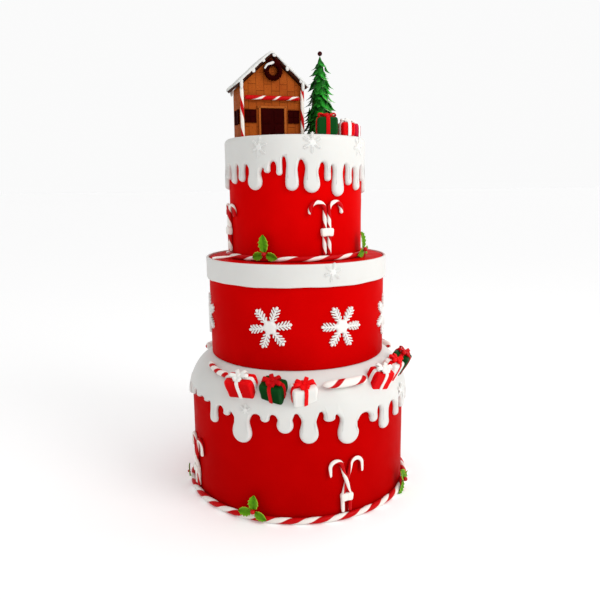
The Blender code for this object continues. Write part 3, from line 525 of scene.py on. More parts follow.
def makeTiers():
    # Each row: name, node, profile, columns, and the size, depth and seed of its unevenness.
    shoulder = joined(*shoulderPoint(np.linspace(shoulderEnd, 0, 26), -cake["skin"] - clear))
    bottom = [level(shoulder[0, 1], 0.001, 0.05), shoulder,
              *wallProfile(cake["lowRadius"], shoulder[-1, 1] - 0.002, 0.0, tierLook["footRound"], 6, 0.06)]
    mid, topFoot = cake["midRadius"], cake["topFoot"]
    lid = denseLine(level(topFoot, 0.001, mid - tierLook["edgeRound"]), 0.008)[:-1]
    middle = edgedProfile(lid, mid, topFoot, cake["midFoot"] + clear, 0.05)
    high = cake["deck"] - cake["skin"]
    upper = edgedProfile(level(high, 0.001, 0.04), cake["topRadius"], high, topFoot + clear, 0.04)
    for name, node, profile, *uneven in (("redTierBottom", "tier_bottom", bottom, 360, 0.055, 0.00028, 5),
                                         ("redTierMiddle", "tier_middle", middle, 360, 0.06, 0.00025, 8),
                                         ("redTierTop", "tier_top", upper, 288, 0.05, 0.00022, 13)):
        makePiece(name, [turnedShape(np.concatenate(profile), *uneven)], [redPaste], [node])


makeTiers()
print("tiers made")


# Drip icing.

# Drips are (angle, height of the tip, width, height of the gap before); the rest are drawn round the back.
lowDrips = {
    "seen": (
        (-69, 0.1160, 0.0080, 0.1255), (-60, 0.1195, 0.0080, 0.1250), (-51.5, 0.1190, 0.0070, 0.1226),
        (-45.3, 0.0988, 0.0115, 0.1215), (-36.3, 0.1116, 0.0085, 0.1205), (-27.5, 0.0850, 0.0230, 0.1172),
        (-15.6, 0.1110, 0.0100, 0.1191), (-6.1, 0.1000, 0.0175, 0.1198), (5, 0.0887, 0.0200, 0.1215),
        (14.7, 0.1110, 0.0125, 0.1224), (24.3, 0.0835, 0.0245, 0.1182), (39.2, 0.1006, 0.0110, 0.1147),
        (47, 0.0884, 0.0150, 0.1172), (59, 0.0950, 0.0095, 0.1165)),
    "radius": cake["lowRadius"], "pitch": 9.8, "valley": 0.1200, "tips": (0.084, 0.110), "seed": 11,
    "side": 0.1300, "lumps": 31,
}
topDrips = {
    "seen": (
        (-71, 0.3590, 0.0080, 0.3745), (-58.6, 0.3544, 0.0085, 0.3750), (-47.3, 0.3563, 0.0090, 0.3753),
        (-33.3, 0.3474, 0.0175, 0.3748), (-22.2, 0.3650, 0.0070, 0.3703), (-12.3, 0.3622, 0.0065, 0.3770),
        (-2.5, 0.3465, 0.0140, 0.3818), (13, 0.3441, 0.0175, 0.3786), (26.1, 0.3560, 0.0080, 0.3756),
        (35.7, 0.3400, 0.0165, 0.3726), (47.5, 0.3516, 0.0090, 0.3738), (59.1, 0.3460, 0.0105, 0.3709),
        (71.5, 0.3560, 0.0080, 0.3730)),
    "radius": cake["topRadius"], "pitch": 11.3, "valley": 0.3755, "tips": (0.341, 0.366), "seed": 23,
    "side": 0.3860, "lumps": 37,
}
dripLook = {"tipSteps": 19, "sideSteps": 12, "archSteps": 12, "pinch": 0.25, "apart": 0.0016, "rim": 0.0034,
            "swell": 0.0007, "innerRows": 13, "lift": 0.00005, "lumpSize": 0.03, "lump": 0.00022}


def dripRow(look):
    # The drips seen, then drawn ones an even step apart; long ones are fewer and wider.
    draw = random.Random(look["seed"])
    row = [drip[:3] for drip in look["seen"]]
    start = row[-1][0]
    arc = 360 + row[0][0] - start
    count = round(arc / look["pitch"])
    low, high = look["tips"]
    for step in range(1, count):
        angle = start + arc * step / count + draw.uniform(-1.2, 1.2)
        long = draw.random() ** 1.3
        row.append([angle, high - (high - low) * long, 0.0075 + 0.0125 * long + draw.uniform(0, 0.003)])
    valleys = [look["valley"] + draw.uniform(-0.0028, 0.0028) for _ in row]
    valleys[:len(look["seen"])] = [drip[3] for drip in look["seen"]]
    return np.array(row).T[..., None], np.array(valleys)[:, None]


def easeApart(x, half, turnLength):
    # Where two drips stand too close, both lose width in proportion, so that they stay apart.
    between = np.roll(x, -1) - x
    between[-1] += turnLength
    room = np.maximum(between - dripLook["apart"], 0.002)
    share = np.minimum(1, room / (half + np.roll(half, -1)))
    return half * np.minimum(share, np.roll(share, 1))


def smoothRound(values, width):
    # Running mean round a closed row.
    reach = width // 2
    padded = np.concatenate([values[-reach:], values, values[:reach]])
    return np.convolve(padded, np.ones(width) / width, "valid")


def dripOutline(look):
    # Lower edge of the icing, unrolled: a half circle at each tip, sides that pinch in a little
    # (sine squared), and half an ellipse over each gap. Returns x along the wall and z, in metres,
    # how far round each point's column starts, and the half width and tip height of its drip.
    (angle, tip, wide), valley = dripRow(look)
    turnLength = fullTurn * look["radius"]
    x = np.radians(angle) * look["radius"]
    half = easeApart(x, wide / 2, turnLength)
    nextX, nextHalf, nextTip, nextValley = (np.roll(column, -1) for column in (x, half, tip, valley))
    nextX[-1] += turnLength
    circle = np.minimum(half, 0.52 * (np.minimum(valley, nextValley) - tip))
    bottom = tip + circle
    room = (nextX - nextHalf) - (x + half)
    arch = np.minimum(np.abs(room) * 0.75, 0.40 * np.minimum(nextValley - tip, nextValley - nextTip))
    t = np.linspace(0, 1, dripLook["sideSteps"], endpoint=False)[None, :]
    turn = np.linspace(0, math.pi, dripLook["tipSteps"], endpoint=False)[None, :]
    over = np.linspace(0, math.pi, dripLook["archSteps"], endpoint=False)[None, :]
    pinch = dripLook["pinch"] * np.clip(half / 0.0095, 0.3, 1) * np.sin(math.pi * (1 - t) ** 0.6) ** 2
    leftTop = valley - np.roll(arch, 1)
    rightTop = nextValley - arch
    leftTall, rightTall = (np.clip((top - bottom) / 0.014, 0, 1) for top in (leftTop, rightTop))
    middle = ((x + half) + (nextX - nextHalf)) / 2
    xs = np.concatenate([x - half * (1 - leftTall * pinch[:, ::-1]), x - half * np.cos(turn),
                         x + half * (1 - rightTall * pinch), middle - room / 2 * np.cos(over)], 1)
    zs = np.concatenate([leftTop + (bottom - leftTop) * t, tip + circle * (1 - np.sin(turn)),
                         bottom + (rightTop - bottom) * t, rightTop + arch * np.sin(over)], 1)
    count = xs.shape[1]
    share = (np.arange(count)[None, :] - (dripLook["sideSteps"] + dripLook["tipSteps"] / 2)) / count
    startX = x + 2 * share * (half + np.where(share < 0, np.roll(room, 1), room) / 2)
    halfAt, tipAt = (np.repeat(column, count, 1).reshape(-1) for column in (half, tip))
    base = np.linspace(0, turnLength, xs.size, endpoint=False)
    startX = smoothRound(startX.reshape(-1) - base, 25) + base
    xs, zs = xs.reshape(-1), zs.reshape(-1)
    for _ in range(2):
        xs = smoothRound(xs - base, 3) + base
        zs = smoothRound(zs, 3)
    return xs, zs, startX, smoothRound(halfAt, 15), smoothRound(tipAt, 9)


def dripIcing(look, wallAt, coverRows, backRows):
    # The skin: from the drip edge, rows step in along the edge's normal while the icing rises to its full
    # thickness as a quarter circle, then rows run up to a level ring and over the top. The back lies on the
    # cake, whose radius at a height is wallAt.
    x, z, startX, halfAt, tipAt = dripOutline(look)
    radius = look["radius"]
    turnLength = fullTurn * radius
    dx = np.roll(x, -1) - np.roll(x, 1)
    dx = np.where(dx < -turnLength / 2, dx + turnLength, dx)
    dz = np.roll(z, -1) - np.roll(z, 1)
    span = np.maximum(np.hypot(dx, dz), 1e-9)
    rim = np.minimum(dripLook["rim"], 0.74 * halfAt)
    inX, inZ = smoothRound(-dz / span, 3) * rim, smoothRound(dx / span, 3) * rim
    depth = np.array([0.0, 0.04, 0.13, 0.27, 0.46, 0.70, 1.0])[:, None]
    t = np.linspace(0, 1, dripLook["innerRows"] + 1)[1:, None] ** 0.85
    rowsX, rowsZ = (np.concatenate([edge + inward * depth, edge + inward + (goal - edge - inward) * t])
                    for edge, inward, goal in ((x, inX, startX), (z, inZ, look["side"])))
    rise = np.concatenate([np.sqrt(1 - (1 - depth) ** 2) * np.ones_like(x), np.ones_like(t * x)])
    bulb = np.exp(-((rowsZ - tipAt - halfAt) / (1.3 * halfAt)) ** 2) * np.clip(halfAt / 0.008, 0, 1.3)
    angle = np.degrees(rowsX / radius)

    def lumps(*spot):
        # Unevenness at points given as radius, angle and height.
        return wobble(around(*spot), dripLook["lumpSize"], dripLook["lump"], look["lumps"])

    thick = rise * (cake["skin"] + dripLook["swell"] * bulb + lumps(radius, angle + 90, rowsZ))
    outer = around(wallAt(rowsZ) + dripLook["lift"] + thick, angle, rowsZ)
    columns = np.degrees(startX / radius)[None, :]
    cover = around(coverRows[:, :1], columns, coverRows[:, 1:])
    swell = lumps(coverRows[:, :1], columns + 90, coverRows[:, 1:])[..., None]
    cover = cover + (outward(cover) * 0.7 + np.array([0.0, 0.0, 0.7])) * swell
    backZ = z + inZ * 0.8
    backEdge = around(wallAt(backZ) + 0.00002, np.degrees((x + inX * 0.8) / radius), backZ)
    back = around(backRows[:, :1], columns, backRows[:, 1:])
    return gridShape(np.concatenate([back[::-1], backEdge[None], outer, cover]))


def makeIcing():
    # Bottom: over the shoulder's ellipse. Top: up the wall, round an edge and over the deck.
    lift, skin = dripLook["lift"], cake["skin"]
    side = shoulderTurn(lowDrips["side"])
    turns = np.linspace(side, shoulderEnd, 17)[1:]
    cover = np.concatenate([joined(*shoulderPoint(turns)),
                            level(cake["midFoot"], 0.088, 0.060, 0.030, 0.0008)])
    inner = joined(*shoulderPoint(np.append(side, turns[::3]), lift - skin))
    back = np.concatenate([inner, level(inner[-1, 1], 0.05, 0.0008)])
    shape = dripIcing(lowDrips, lambda height: shoulderPoint(shoulderTurn(height), -skin)[0], cover, back)
    makePiece("dripIcingBottom", [shape], [whiteIcing], ["icing_bottom"])

    top, deck, soft = cake["topRadius"], cake["deck"], 0.0052
    rise = denseLine([(top + skin, topDrips["side"] + 0.002), (top + skin, deck - soft)], 0.0025)[:-1]
    cover = np.concatenate([rise, arcLine(top + skin - soft + lift, deck - soft, soft, 0, 90, 9),
                            level(deck, 0.068, 0.055, 0.040, 0.020, 0.0008)])
    under = deck - skin + 0.0001
    back = np.array([(top + lift, topDrips["side"]), (top + lift, under - 0.004),
                     *level(under, top - 0.004, 0.04, 0.0008)])
    shape = dripIcing(topDrips, lambda height: top, cover, back)
    makePiece("dripIcingTop", [shape], [whiteIcing], ["icing_top"])


makeIcing()

bandLook = {"high": 0.0237, "thick": 0.0031, "lip": 0.0005, "round": 0.0012, "innerRound": 0.0006,
            "waviness": 0.0003}


def makeBand():
    # Rounded strip turned round the tier, its lower edge a little wavy.
    inner = cake["midRadius"] + 0.00025
    outer = cake["midRadius"] + bandLook["thick"]
    high = cake["topFoot"] + bandLook["lip"]
    low = cake["topFoot"] - bandLook["high"]
    soft, fine = bandLook["round"], bandLook["innerRound"]
    section = np.concatenate([
        arcLine(outer - soft, high - soft, soft, 0, 90, 7),
        arcLine(inner + fine, high - fine, fine, 90, 180, 4),
        denseLine([(inner, high - 0.002), (inner, low + 0.002)], 0.006),
        arcLine(inner + fine, low + fine, fine, 180, 270, 4),
        arcLine(outer - soft, low + soft, soft, 270, 360, 7),
        denseLine([(outer, low + soft + 0.001), (outer, high - soft - 0.001)], 0.002)])[None]
    angle = np.linspace(0, 360, 360, endpoint=False)[:, None]
    wave = np.sin(np.radians(angle) * 7 + 1) + 0.6 * np.sin(np.radians(angle) * 17)
    lower = np.clip((high - section[..., 1]) / (high - low), 0, 1)
    points = around(section[..., 0], angle, section[..., 1] + bandLook["waviness"] * wave * lower)
    points = points + outward(points) * wobble(points, 0.04, 0.00018, 41)[..., None]
    makePiece("whiteBand", [gridShape(points, True)], [whiteIcing], ["band_middle"])


makeBand()
print("icing made")


# Ropes.

ledgeTwist = {"radius": 0.0046, "pitch": 0.0295, "white": 0.72, "groove": 0.08, "sides": 28,
              "taper": (0.016, 0.45)}
ropeLooks = {
    "base": {"radius": 0.0034, "pitch": 0.0316, "white": 0.47, "groove": 0.24, "sides": 32, "phase": 1.31},
    "front": {**ledgeTwist, "phase": 6.14},
    "left": {"radius": 0.0034, "pitch": 0.0150, "white": 0.58, "groove": 0.12, "sides": 28, "phase": 1.2,
             "taper": (0.008, 0.55)},
    "back": {**ledgeTwist, "phase": 0.4},
    "top": {"radius": 0.0029, "pitch": 0.0357, "white": 0.40, "groove": 0.22, "sides": 30, "phase": 3.72},
    "end": {"radius": 0.0016, "marks": (0.0165, 0.0665), "white": 0.46, "groove": 0.12, "sides": 20},
}
# Radius of the solid ropes at the foot of the tiers, and how far the twisted ones stand off.
ropeSize = {"base": 0.0032, "top": 0.0027, "off": 0.0006}
# Ropes on the shoulder: start, stop, turn up the shoulder, and what its start adds to that.
ledgeRopes = {"front": (12, 36, 42, 0), "left": (-60, -39, 48, 9), "back": (105, 250, 42, 0)}


def ropeShape(look, radius, height, start=0, stop=360, step=0.75):
    # Rope along an arc round the cake, closed when it goes all the way.
    closed = stop - start >= 360
    angle = np.linspace(start, stop, int((stop - start) / step), endpoint=not closed)
    return twistedTube(around(radius, angle, height), around(1.0, angle, 0.0), ropeLooks[look], closed)


def makeRopes():
    # The top rope's loose end runs straight from the ring to the rim of the band, its white to the front.
    base, top, off = ropeSize["base"], ropeSize["top"], ropeSize["off"]
    baseRope = ropeShape("base", cake["lowRadius"] + base + off, base + clear)
    topRope = ropeShape("top", cake["topRadius"] + top + off, cake["topFoot"] + top + off, step=1.0)
    path = np.linspace((-0.0655, -0.0455, 0.2750), (-0.0930, -0.0497, 0.2744), 40)
    looseEnd = twistedTube(path, np.array([0.1, -0.8, 0.6]), ropeLooks["end"])
    makePiece("ropeBase", [baseRope], [ropeTwist], ["rope_base"])
    makePiece("ropeTop", [topRope, looseEnd], [ropeTwist], ["rope_top"])
    for name, (start, stop, turn, climb) in ledgeRopes.items():
        rising = np.linspace(1, 0, int((stop - start) / 0.75)) ** 2
        spot = shoulderPoint(turn + climb * rising, ropeLooks[name]["radius"] + off)
        makePiece("ropeLedge" + name.title(), [ropeShape(name, *spot, start, stop)], [ropeTwist],
                  ["rope_ledge_" + name])


makeRopes()
print("ropes made")


# Snowflakes.

flakeLook = {
    "radius": 0.0240, "height": 0.0024, "heart": 0.0086, "stem": 0.0013,
    "barbFrom": (0.315, 0.465, 0.615, 0.760), "barbLong": (0.0054, 0.0063, 0.0063, 0.0056),
    "barbWide": 0.00088, "barbLean": 50, "tipWide": 0.0023,
}


def barShape(start, stop, wideStart, wideStop, height, onWall, power=0.55):
    # Rounded bar on a plate: half width eases to nothing at both ends, its section is a flat footed arch.
    along = np.linspace(0, 1, 11)[:, None]
    turn = circleTurns(12)
    ease = np.maximum((1 - np.abs(2 * along - 1) ** 5) ** 0.5, 0.05)
    across = softPower(np.cos(turn), power) * (wideStart + (wideStop - wideStart) * along) * ease
    depth = softPower(np.maximum(np.sin(turn), -0.05) * (0.35 + 0.65 * ease), 0.7) * height
    ahead = unit(stop - start)
    x = start[0] + (stop[0] - start[0]) * along + across * ahead[1]
    y = start[1] + (stop[1] - start[1]) * along - across * ahead[0]
    return gridShape(onWall(x, y, depth))


def flakeShapes(size, turn, radius, angle, height):
    # Six arms, each a stem with pairs of slanting barbs and a pointed tip, on a domed six sided heart.
    scale = size / flakeLook["radius"]
    high, heart, stem, barb, point = (flakeLook[key] * scale
                                      for key in ("height", "heart", "stem", "barbWide", "tipWide"))

    def onWall(x, y, depth):
        # Bends the flat design onto the round wall: x runs round it, y up, depth outwards.
        return around(radius + depth, angle + np.degrees(x / radius), height + y)

    rho = np.linspace(0.02, 1, 9)[:, None]
    spin = circleTurns(72)
    edge = rho * heart * (0.84 + 0.22 * np.cos(3 * (spin - math.radians(turn))) ** 2)
    x, y = edge * np.sin(spin), edge * np.cos(spin)
    dome = onWall(x, y, high * (1 - rho ** 6) ** 0.5 * np.ones_like(x))
    shapes = [gridShape(np.concatenate([dome, onWall(x, y, np.zeros_like(x))[::-1]]))]
    slant = math.radians(flakeLook["barbLean"])
    for arm in range(6):
        lean = math.radians(turn + 60 * arm)
        out = np.array([math.sin(lean), math.cos(lean)])
        across = np.array([out[1], -out[0]])
        shapes.append(barShape(out * 0.25 * size, out * 0.90 * size, stem, 0.7 * stem, high, onWall))
        for share, long in zip(flakeLook["barbFrom"], flakeLook["barbLong"]):
            start = out * (share * size - 0.0006 * scale)
            for side in (-1, 1):
                way = out * math.cos(slant) + across * side * math.sin(slant)
                tip = out * share * size + way * long * scale
                shapes.append(barShape(start, tip, barb, 0.95 * barb, 0.92 * high, onWall))
        shapes.append(barShape(out * 0.85 * size, out * size, point, 0.5 * point, high, onWall, 0.8))
    return shapes


# Snowflakes on the middle tier: angle, height, turn.
flakePlaces = ((-77.5, 0.2075, 4), (-16, 0.2060, 21), (27.5, 0.2045, -27), (74, 0.2050, 9),
               (130, 0.2060, -14), (180, 0.2050, 22), (230, 0.2070, -8))
for number, (angle, height, turn) in enumerate(flakePlaces, start=1):
    shapes = flakeShapes(flakeLook["radius"], turn, cake["midRadius"] + 0.0002, angle, height)
    makePiece(f"snowflake{number}", shapes, [flakePaste], [f"snowflake_{number}"])

# Small white flakes on the white icing: size, turn, radius of the wall there, angle, height.
smallFlakes = ((0.0105, 10, 0.0800, -28, 0.3915), (0.0110, 0, 0.0800, 13, 0.3950),
               (0.0105, 20, 0.0800, 59, 0.3925), (0.0105, 12, 0.1053, 21, 0.2635),
               (0.0070, 5, 0.1302, -25, 0.1225), (0.0095, 0, 0.1302, 64, 0.1215))
for number, flake in enumerate(smallFlakes, start=1):
    makePiece(f"smallFlake{number}", flakeShapes(*flake), [flakePaste], ())
print("snowflakes made")


# Candy canes.

caneLook = {"radius": 0.0022, "stand": 0.0021, "groove": 0.04, "sides": 18,
            "knot": (0.0078, 0.0056, 0.0088), "knotOut": 0.0032, "knotApart": 0.0031, "knotTurn": 6.82}
# Canes are (angle, share of the height at which the tie sits, share of the full height, how far the right
# one's marks move along it). Marks are lengths along a cane at which the white faces out.
caneSets = {
    "bottom": {"canes": ((-66, 0.34, 1.0, 0.011), (23, 0.29, 1.0, 0), (115, 0.40, 1.0, 0),
                         (205, 0.34, 1.0, 0)),
               "wall": cake["lowRadius"], "base": 0.0073, "foot": -0.0043, "top": 0.0048, "wide": 0.0187,
               "high": 0.0612, "drop": 0.0170, "lift": 0.0016,
               "white": 0.46, "marks": ((-0.030, 0.037, 0.0715, 0.135), (0.006, 0.064, 0.20))},
    "top": {"canes": ((-73, 0.44, 0.94, 0), (24.8, 0.42, 1.0, 0), (118, 0.42, 1.0, 0), (207, 0.42, 1.0, 0)),
            "wall": cake["topRadius"], "base": cake["topFoot"] + 0.0066, "foot": 0.0028, "top": 0.0024,
            "wide": 0.0188, "high": 0.0580, "drop": 0.0125, "lift": 0.0,
            "white": 0.44, "marks": ((0.0085, 0.037, 0.060, 0.081), (0.010, 0.035, 0.056, 0.079))},
}


def caneLine(look, high, knotHeight):
    # Half of a pair, unrolled: up the shaft to the knot, over to the hook's foot and round half a circle.
    # Also how much the shaft lies over the other one: a bell round the height at which they cross.
    arc = (look["wide"] - look["top"]) / 2
    start = high - caneLook["stand"] - arc
    hook = arcLine(look["top"] + arc, start, arc, 180, 0, 9)
    shaft = np.array([(look["foot"], 0.0), (look["foot"], 0.55 * knotHeight), (look["foot"], knotHeight)])
    rise = shaft[-1] + (hook[0] - shaft[-1]) * np.array([[0.33], [0.67]])
    end = [(look["wide"], start + arc - look["drop"])]
    flat = smoothPath(np.concatenate([shaft, rise, hook, end]), 130)
    crossing = knotHeight + 0.47 * (start - knotHeight)
    return flat, np.exp(-((flat[:, 1] - crossing) / 0.007) ** 2) * (flat[:, 0] < look["top"] + 0.001)


def makeCanes(setName, look):
    # Each pair bends round the wall, the left one over the right one where they cross, with a tie of two
    # pillows. A pillow is white: its twist is 1.
    middle = look["wall"] + clear + caneLook["stand"]
    for number, (angle, tied, tall, move) in enumerate(look["canes"], start=1):
        high = tall * look["high"]
        flat, over = caneLine(look, high, tied * high)
        shapes = []
        for side, lift, further, marks in zip((-1, 1), (look["lift"], 0.0), (0.0, move), look["marks"]):
            path = around(middle + lift * over, angle + np.degrees(side * flat[:, 0] / middle),
                          look["base"] + flat[:, 1])
            twist = {**caneLook, "white": look["white"], "marks": [mark + further for mark in marks]}
            shapes.append(twistedTube(path, outward(path), twist))
        knot = wallFrame(look["wall"] + caneLook["knotOut"], angle, look["base"] + tied * high)
        for side in (-1, 1):
            half = knot @ shift(side * caneLook["knotApart"], 0, 0)
            tie = pillow(caneLook["knot"], half @ turnAbout("Y", side * caneLook["knotTurn"]), power=0.42)
            tie["fields"]["twist"] = np.ones(len(tie["points"]))
            shapes.append(tie)
        makePiece(f"canes{setName.title()}{number}", shapes, [caneTwist], [f"canes_{setName}_{number}"])


for setName, look in caneSets.items():
    makeCanes(setName, look)
print("canes made")


# Holly.

hollyLook = {"long": 0.0185, "wide": 0.0118, "thick": 0.0011, "berry": 0.0026, "teeth": 4.5, "out": 0.0022}
# Sprigs are (angle, turn in their own plane, size); leaves are (turn, share of the length, share of the
# width, how far their feet stand from the sprig's heart across and up).
hollySets = {
    "bottom": {"sprigs": ((-21, 0, 1.0), (64.5, -34, 1.0), (160, 6, 1.0), (-77, -20, 0.55)),
               "wall": cake["lowRadius"] + 2 * ropeSize["base"], "heart": 0.0135,
               "leaves": ((-99, 0.90, 0.94, -0.0018, -0.0008), (124, 0.80, 0.94, 0.0018, -0.0008),
                          (2, 0.86, 1.0, 0.0, 0.0012))},
    "top": {"sprigs": ((-23.5, 0, 1.0), (65, -8, 1.0), (162, 5, 1.0), (-116, -5, 1.0)),
            "wall": cake["topRadius"] + 2 * ropeSize["top"], "heart": cake["topFoot"] + 0.0088,
            "leaves": ((-104, 0.74, 0.84, -0.0018, -0.0008), (107, 0.70, 0.84, 0.0018, -0.0008),
                       (-7, 1.04, 0.96, 0.0, 0.0012))},
}


def hollyLeafShape(matrix, long, wide, seed):
    # Half width follows a sine along the leaf, times a shallow spiny wave; the blade folds along its
    # midrib, lifts at each spine and droops to its tip. Front and back lie half the thickness apart.
    draw = random.Random(seed)
    along = np.linspace(0.0, 1.0, 61)[:, None]
    across = np.linspace(-1, 1, 17)[None, :]
    wave = np.abs(((along * hollyLook["teeth"] + 0.25) % 1.0) - 0.5) * 2
    spine = 0.87 + 0.20 * wave ** 1.5
    half = wide / 2 * np.sin(math.pi * np.clip(along, 0.012, 0.988) ** 0.92) ** 0.62 * spine
    lift = 0.0011 * np.abs(across) ** 1.5 * (0.4 + wave) - 0.0009 * (1 - np.abs(across)) ** 2
    lift = lift - 0.0032 * (along - 0.35) ** 2 + draw.uniform(-0.0003, 0.0003) * across
    x = half * across * (1 + 0.05 * draw.uniform(-1, 1))
    edge = np.sqrt(np.clip(1 - across ** 8, 0, 1)) * np.sqrt(np.clip(1 - (2 * along - 1) ** 12, 0, 1))
    thick = hollyLook["thick"] / 2 * np.maximum(edge, 0.12)
    front, back = (joined(x, side * thick - lift, along * long) for side in (-1, 1))
    ring = np.concatenate([front, back[:, ::-1]], 1)
    fields = {"across": np.abs(np.concatenate([across, across], 1)), "along": along}
    return gridShape(place(ring, matrix), fields=fields)


def makeHolly(setName, look):
    # Three leaves round a berry, each a little in front of the one before.
    for number, (angle, spin, size) in enumerate(look["sprigs"], start=1):
        heart = (wallFrame(look["wall"] + hollyLook["out"], angle, look["heart"]) @ turnAbout("Y", spin)
                 @ np.diag((size, size, size, 1.0)))
        shapes = []
        for index, (turn, long, wide, across, up) in enumerate(look["leaves"]):
            matrix = heart @ shift(across, -0.0002 * index, up) @ turnAbout("Y", turn)
            shapes.append(hollyLeafShape(matrix, hollyLook["long"] * long, hollyLook["wide"] * wide,
                                         100 * number + index))
        berry = pillow((2 * hollyLook["berry"],) * 3, heart @ shift(0.0, -0.0022, -0.0002), 22, 13, 1.0)
        berry["finish"] = 1
        makePiece(f"holly{setName.title()}{number}", shapes + [berry], [hollyLeaf, berryRed],
                  [f"holly_{setName}_{number}"])


for setName, look in hollySets.items():
    makeHolly(setName, look)
print("holly made")


# Gifts.

# Name, node, paper, ribbon, angle, reach of the base, facing, lean, width, depth, height.
ledgeGifts = (
    ("giftRedWide", "gift_ledge_red_wide", "red", "white", -28.4, 0.1215, -24, 25, 0.0310, 0.0170, 0.0145),
    ("giftGreen", "gift_ledge_green", "green", "ruby", -11.6, 0.1218, -26, 25, 0.0245, 0.0185, 0.0130),
    ("giftWhite", "gift_ledge_white", "white", "red", 2.7, 0.1235, 19, 25, 0.0250, 0.0165, 0.0135),
    ("giftRedTilted", "gift_ledge_red_tilted", "red", "white", 45.8, 0.1220, 34, 26, 0.0250, 0.0165, 0.0150),
    ("giftWhiteSide", "gift_ledge_white_side", "white", "red", 58.6, 0.1205, 54, 27, 0.0220, 0.0165, 0.0165),
    ("giftGreenSide", "gift_ledge_green_side", "green", "ruby", 72.0, 0.1205, 68, 30, 0.0250, 0.0190, 0.0180))
# Name, node, paper, ribbon, place, facing, width, depth, height.
deckGifts = (
    ("giftDeckGreen", "gift_deck_green", "green", "ruby", (0.0345, -0.0450), 7, 0.0212, 0.0180, 0.0190),
    ("giftDeckRed", "gift_deck_red", "red", "white", (0.0562, -0.0350), 28, 0.0155, 0.0135, 0.0145),
    ("giftDeckCrimson", "gift_deck_pink", "crimson", "white", (0.0655, -0.0150), 65, 0.0140, 0.0140, 0.0145))
giftLook = {"soft": 0.0026, "puff": 0.045, "sunk": -0.0085, "ribbonWide": 0.0042, "ribbonThick": 0.0010,
            "bowReach": 0.0104, "loopThick": 0.0013, "knot": (0.0046, 0.0048, 0.0042)}
# Loops of a bow: heading, size, roll. One loop and one tail, as shares of the bow's reach and height.
bowLoops = ((0, 1.0, 24), (180, 1.0, -24), (52, 0.86, 10), (128, 0.86, -10), (-50, 0.66, 16),
            (-130, 0.66, -16))
bowLoop = np.array([(0.0, 0.0), (0.50, 0.08), (0.92, 0.36), (1.0, 0.64), (0.84, 0.88), (0.46, 0.74),
                    (0.0, 0.36)])
bowTail = np.array([(0.0, 0.0020), (0.30, 0.0026), (0.52, 0.0018), (0.72, 0.0004)])


def softBox(size, foot, matrix):
    # Box with soft edges: a rounded rectangle drawn in at the foot and the top along quarter circles.
    wide, deep, high = size
    soft = giftLook["soft"]
    quarter = math.pi / 2
    turn = np.linspace(0, fullTurn, 64, endpoint=False)
    corner = (np.round(turn / quarter - 0.5) + 0.5) * quarter
    heading = corner + np.clip((turn - corner) / (quarter / 2) * 1.6, -1, 1) * quarter / 2
    rows = np.concatenate([arcLine(0, foot + soft, soft, -90, 0, 6),
                           joined(soft, np.linspace(foot + soft, high - soft, 8)[1:-1]),
                           arcLine(0, high - soft, soft, 0, 90, 6)])
    x = np.sign(np.cos(corner)) * (wide / 2 - soft) + np.cos(heading) * rows[:, :1]
    y = np.sign(np.sin(corner)) * (deep / 2 - soft) + np.sin(heading) * rows[:, :1]
    puff = 1 + giftLook["puff"] * np.sin(math.pi * np.clip(rows[:, 1:] / high, 0, 1))
    return gridShape(place(joined(x * puff, y * puff, rows[:, 1:]), matrix))


def ribbonStrip(corners, count, wide, thick, matrix):
    # Flat strip with soft edges, a flattened ring carried along a curve in the X Z plane.
    flat = smoothPath(corners, count)
    turn = circleTurns(14)
    section = joined(softPower(np.cos(turn), 0.5) * wide / 2, softPower(np.sin(turn), 0.8) * thick / 2)
    path = joined(flat[:, 0], 0.0, flat[:, 1])
    shape = moved(sweep(path, np.array([0.0, 1.0, 0.0]), section), matrix)
    shape["finish"] = 1
    return shape


def ribbonRound(wide, foot, high, matrix):
    # Strip laid round the box over its top, bulging as the box does.
    half = wide / 2 + clear
    soft = giftLook["soft"]
    rise = np.linspace(foot, high - soft, 7)[:-1]
    up = joined(half * (1 + giftLook["puff"] * np.sin(math.pi * np.clip(rise / high, 0, 1))), rise)
    right = np.concatenate([up, arcLine(half - soft, high + clear - soft, soft, 0, 90, 7)])
    line = np.concatenate([right, right[::-1] * np.array([-1.0, 1.0])])
    return ribbonStrip(line, 70, giftLook["ribbonWide"], giftLook["ribbonThick"], matrix)


def bowShapes(matrix, reach, seed):
    # Six fat loops splayed round a knot, the side ones longest, and two tails, each a strip along its curve.
    draw = random.Random(seed)
    strip = (giftLook["ribbonWide"] * 1.05, giftLook["loopThick"])
    shapes = []
    for turn, scale, roll in bowLoops:
        loop = bowLoop * np.array([reach, 0.52 * reach]) * scale
        loop[0, 1] = 0.0012
        spin = turnAbout("Z", turn + draw.uniform(-8, 8)) @ turnAbout("X", roll)
        shapes.append(ribbonStrip(loop, 36, *strip, matrix @ spin))
    for turn in (-72 + draw.uniform(-8, 8), -108 + draw.uniform(-8, 8)):
        tail = bowTail * np.array([reach, 1.0])
        shapes.append(ribbonStrip(tail, 20, *strip, matrix @ turnAbout("Z", turn)))
    knot = pillow(giftLook["knot"], matrix @ shift(0, 0, 0.0026), 16, 9, 0.8)
    knot["finish"] = 1
    return shapes + [knot]


def makeGift(name, node, paper, ribbon, matrix, size, foot):
    # A soft box, two ribbons round it and a bow on top. Its two finishes are the pastes of its paper and of
    # its ribbon.
    wide, deep, high = size
    reach = min(giftLook["bowReach"], wide * 0.44)
    shapes = [softBox(size, foot, matrix), ribbonRound(deep, foot, high, matrix @ turnAbout("Z", 90)),
              ribbonRound(wide, foot, high, matrix), *bowShapes(matrix @ shift(0, 0, high), reach, node)]
    makePiece(name, shapes, [giftPastes[paper], giftPastes[ribbon]], [node])


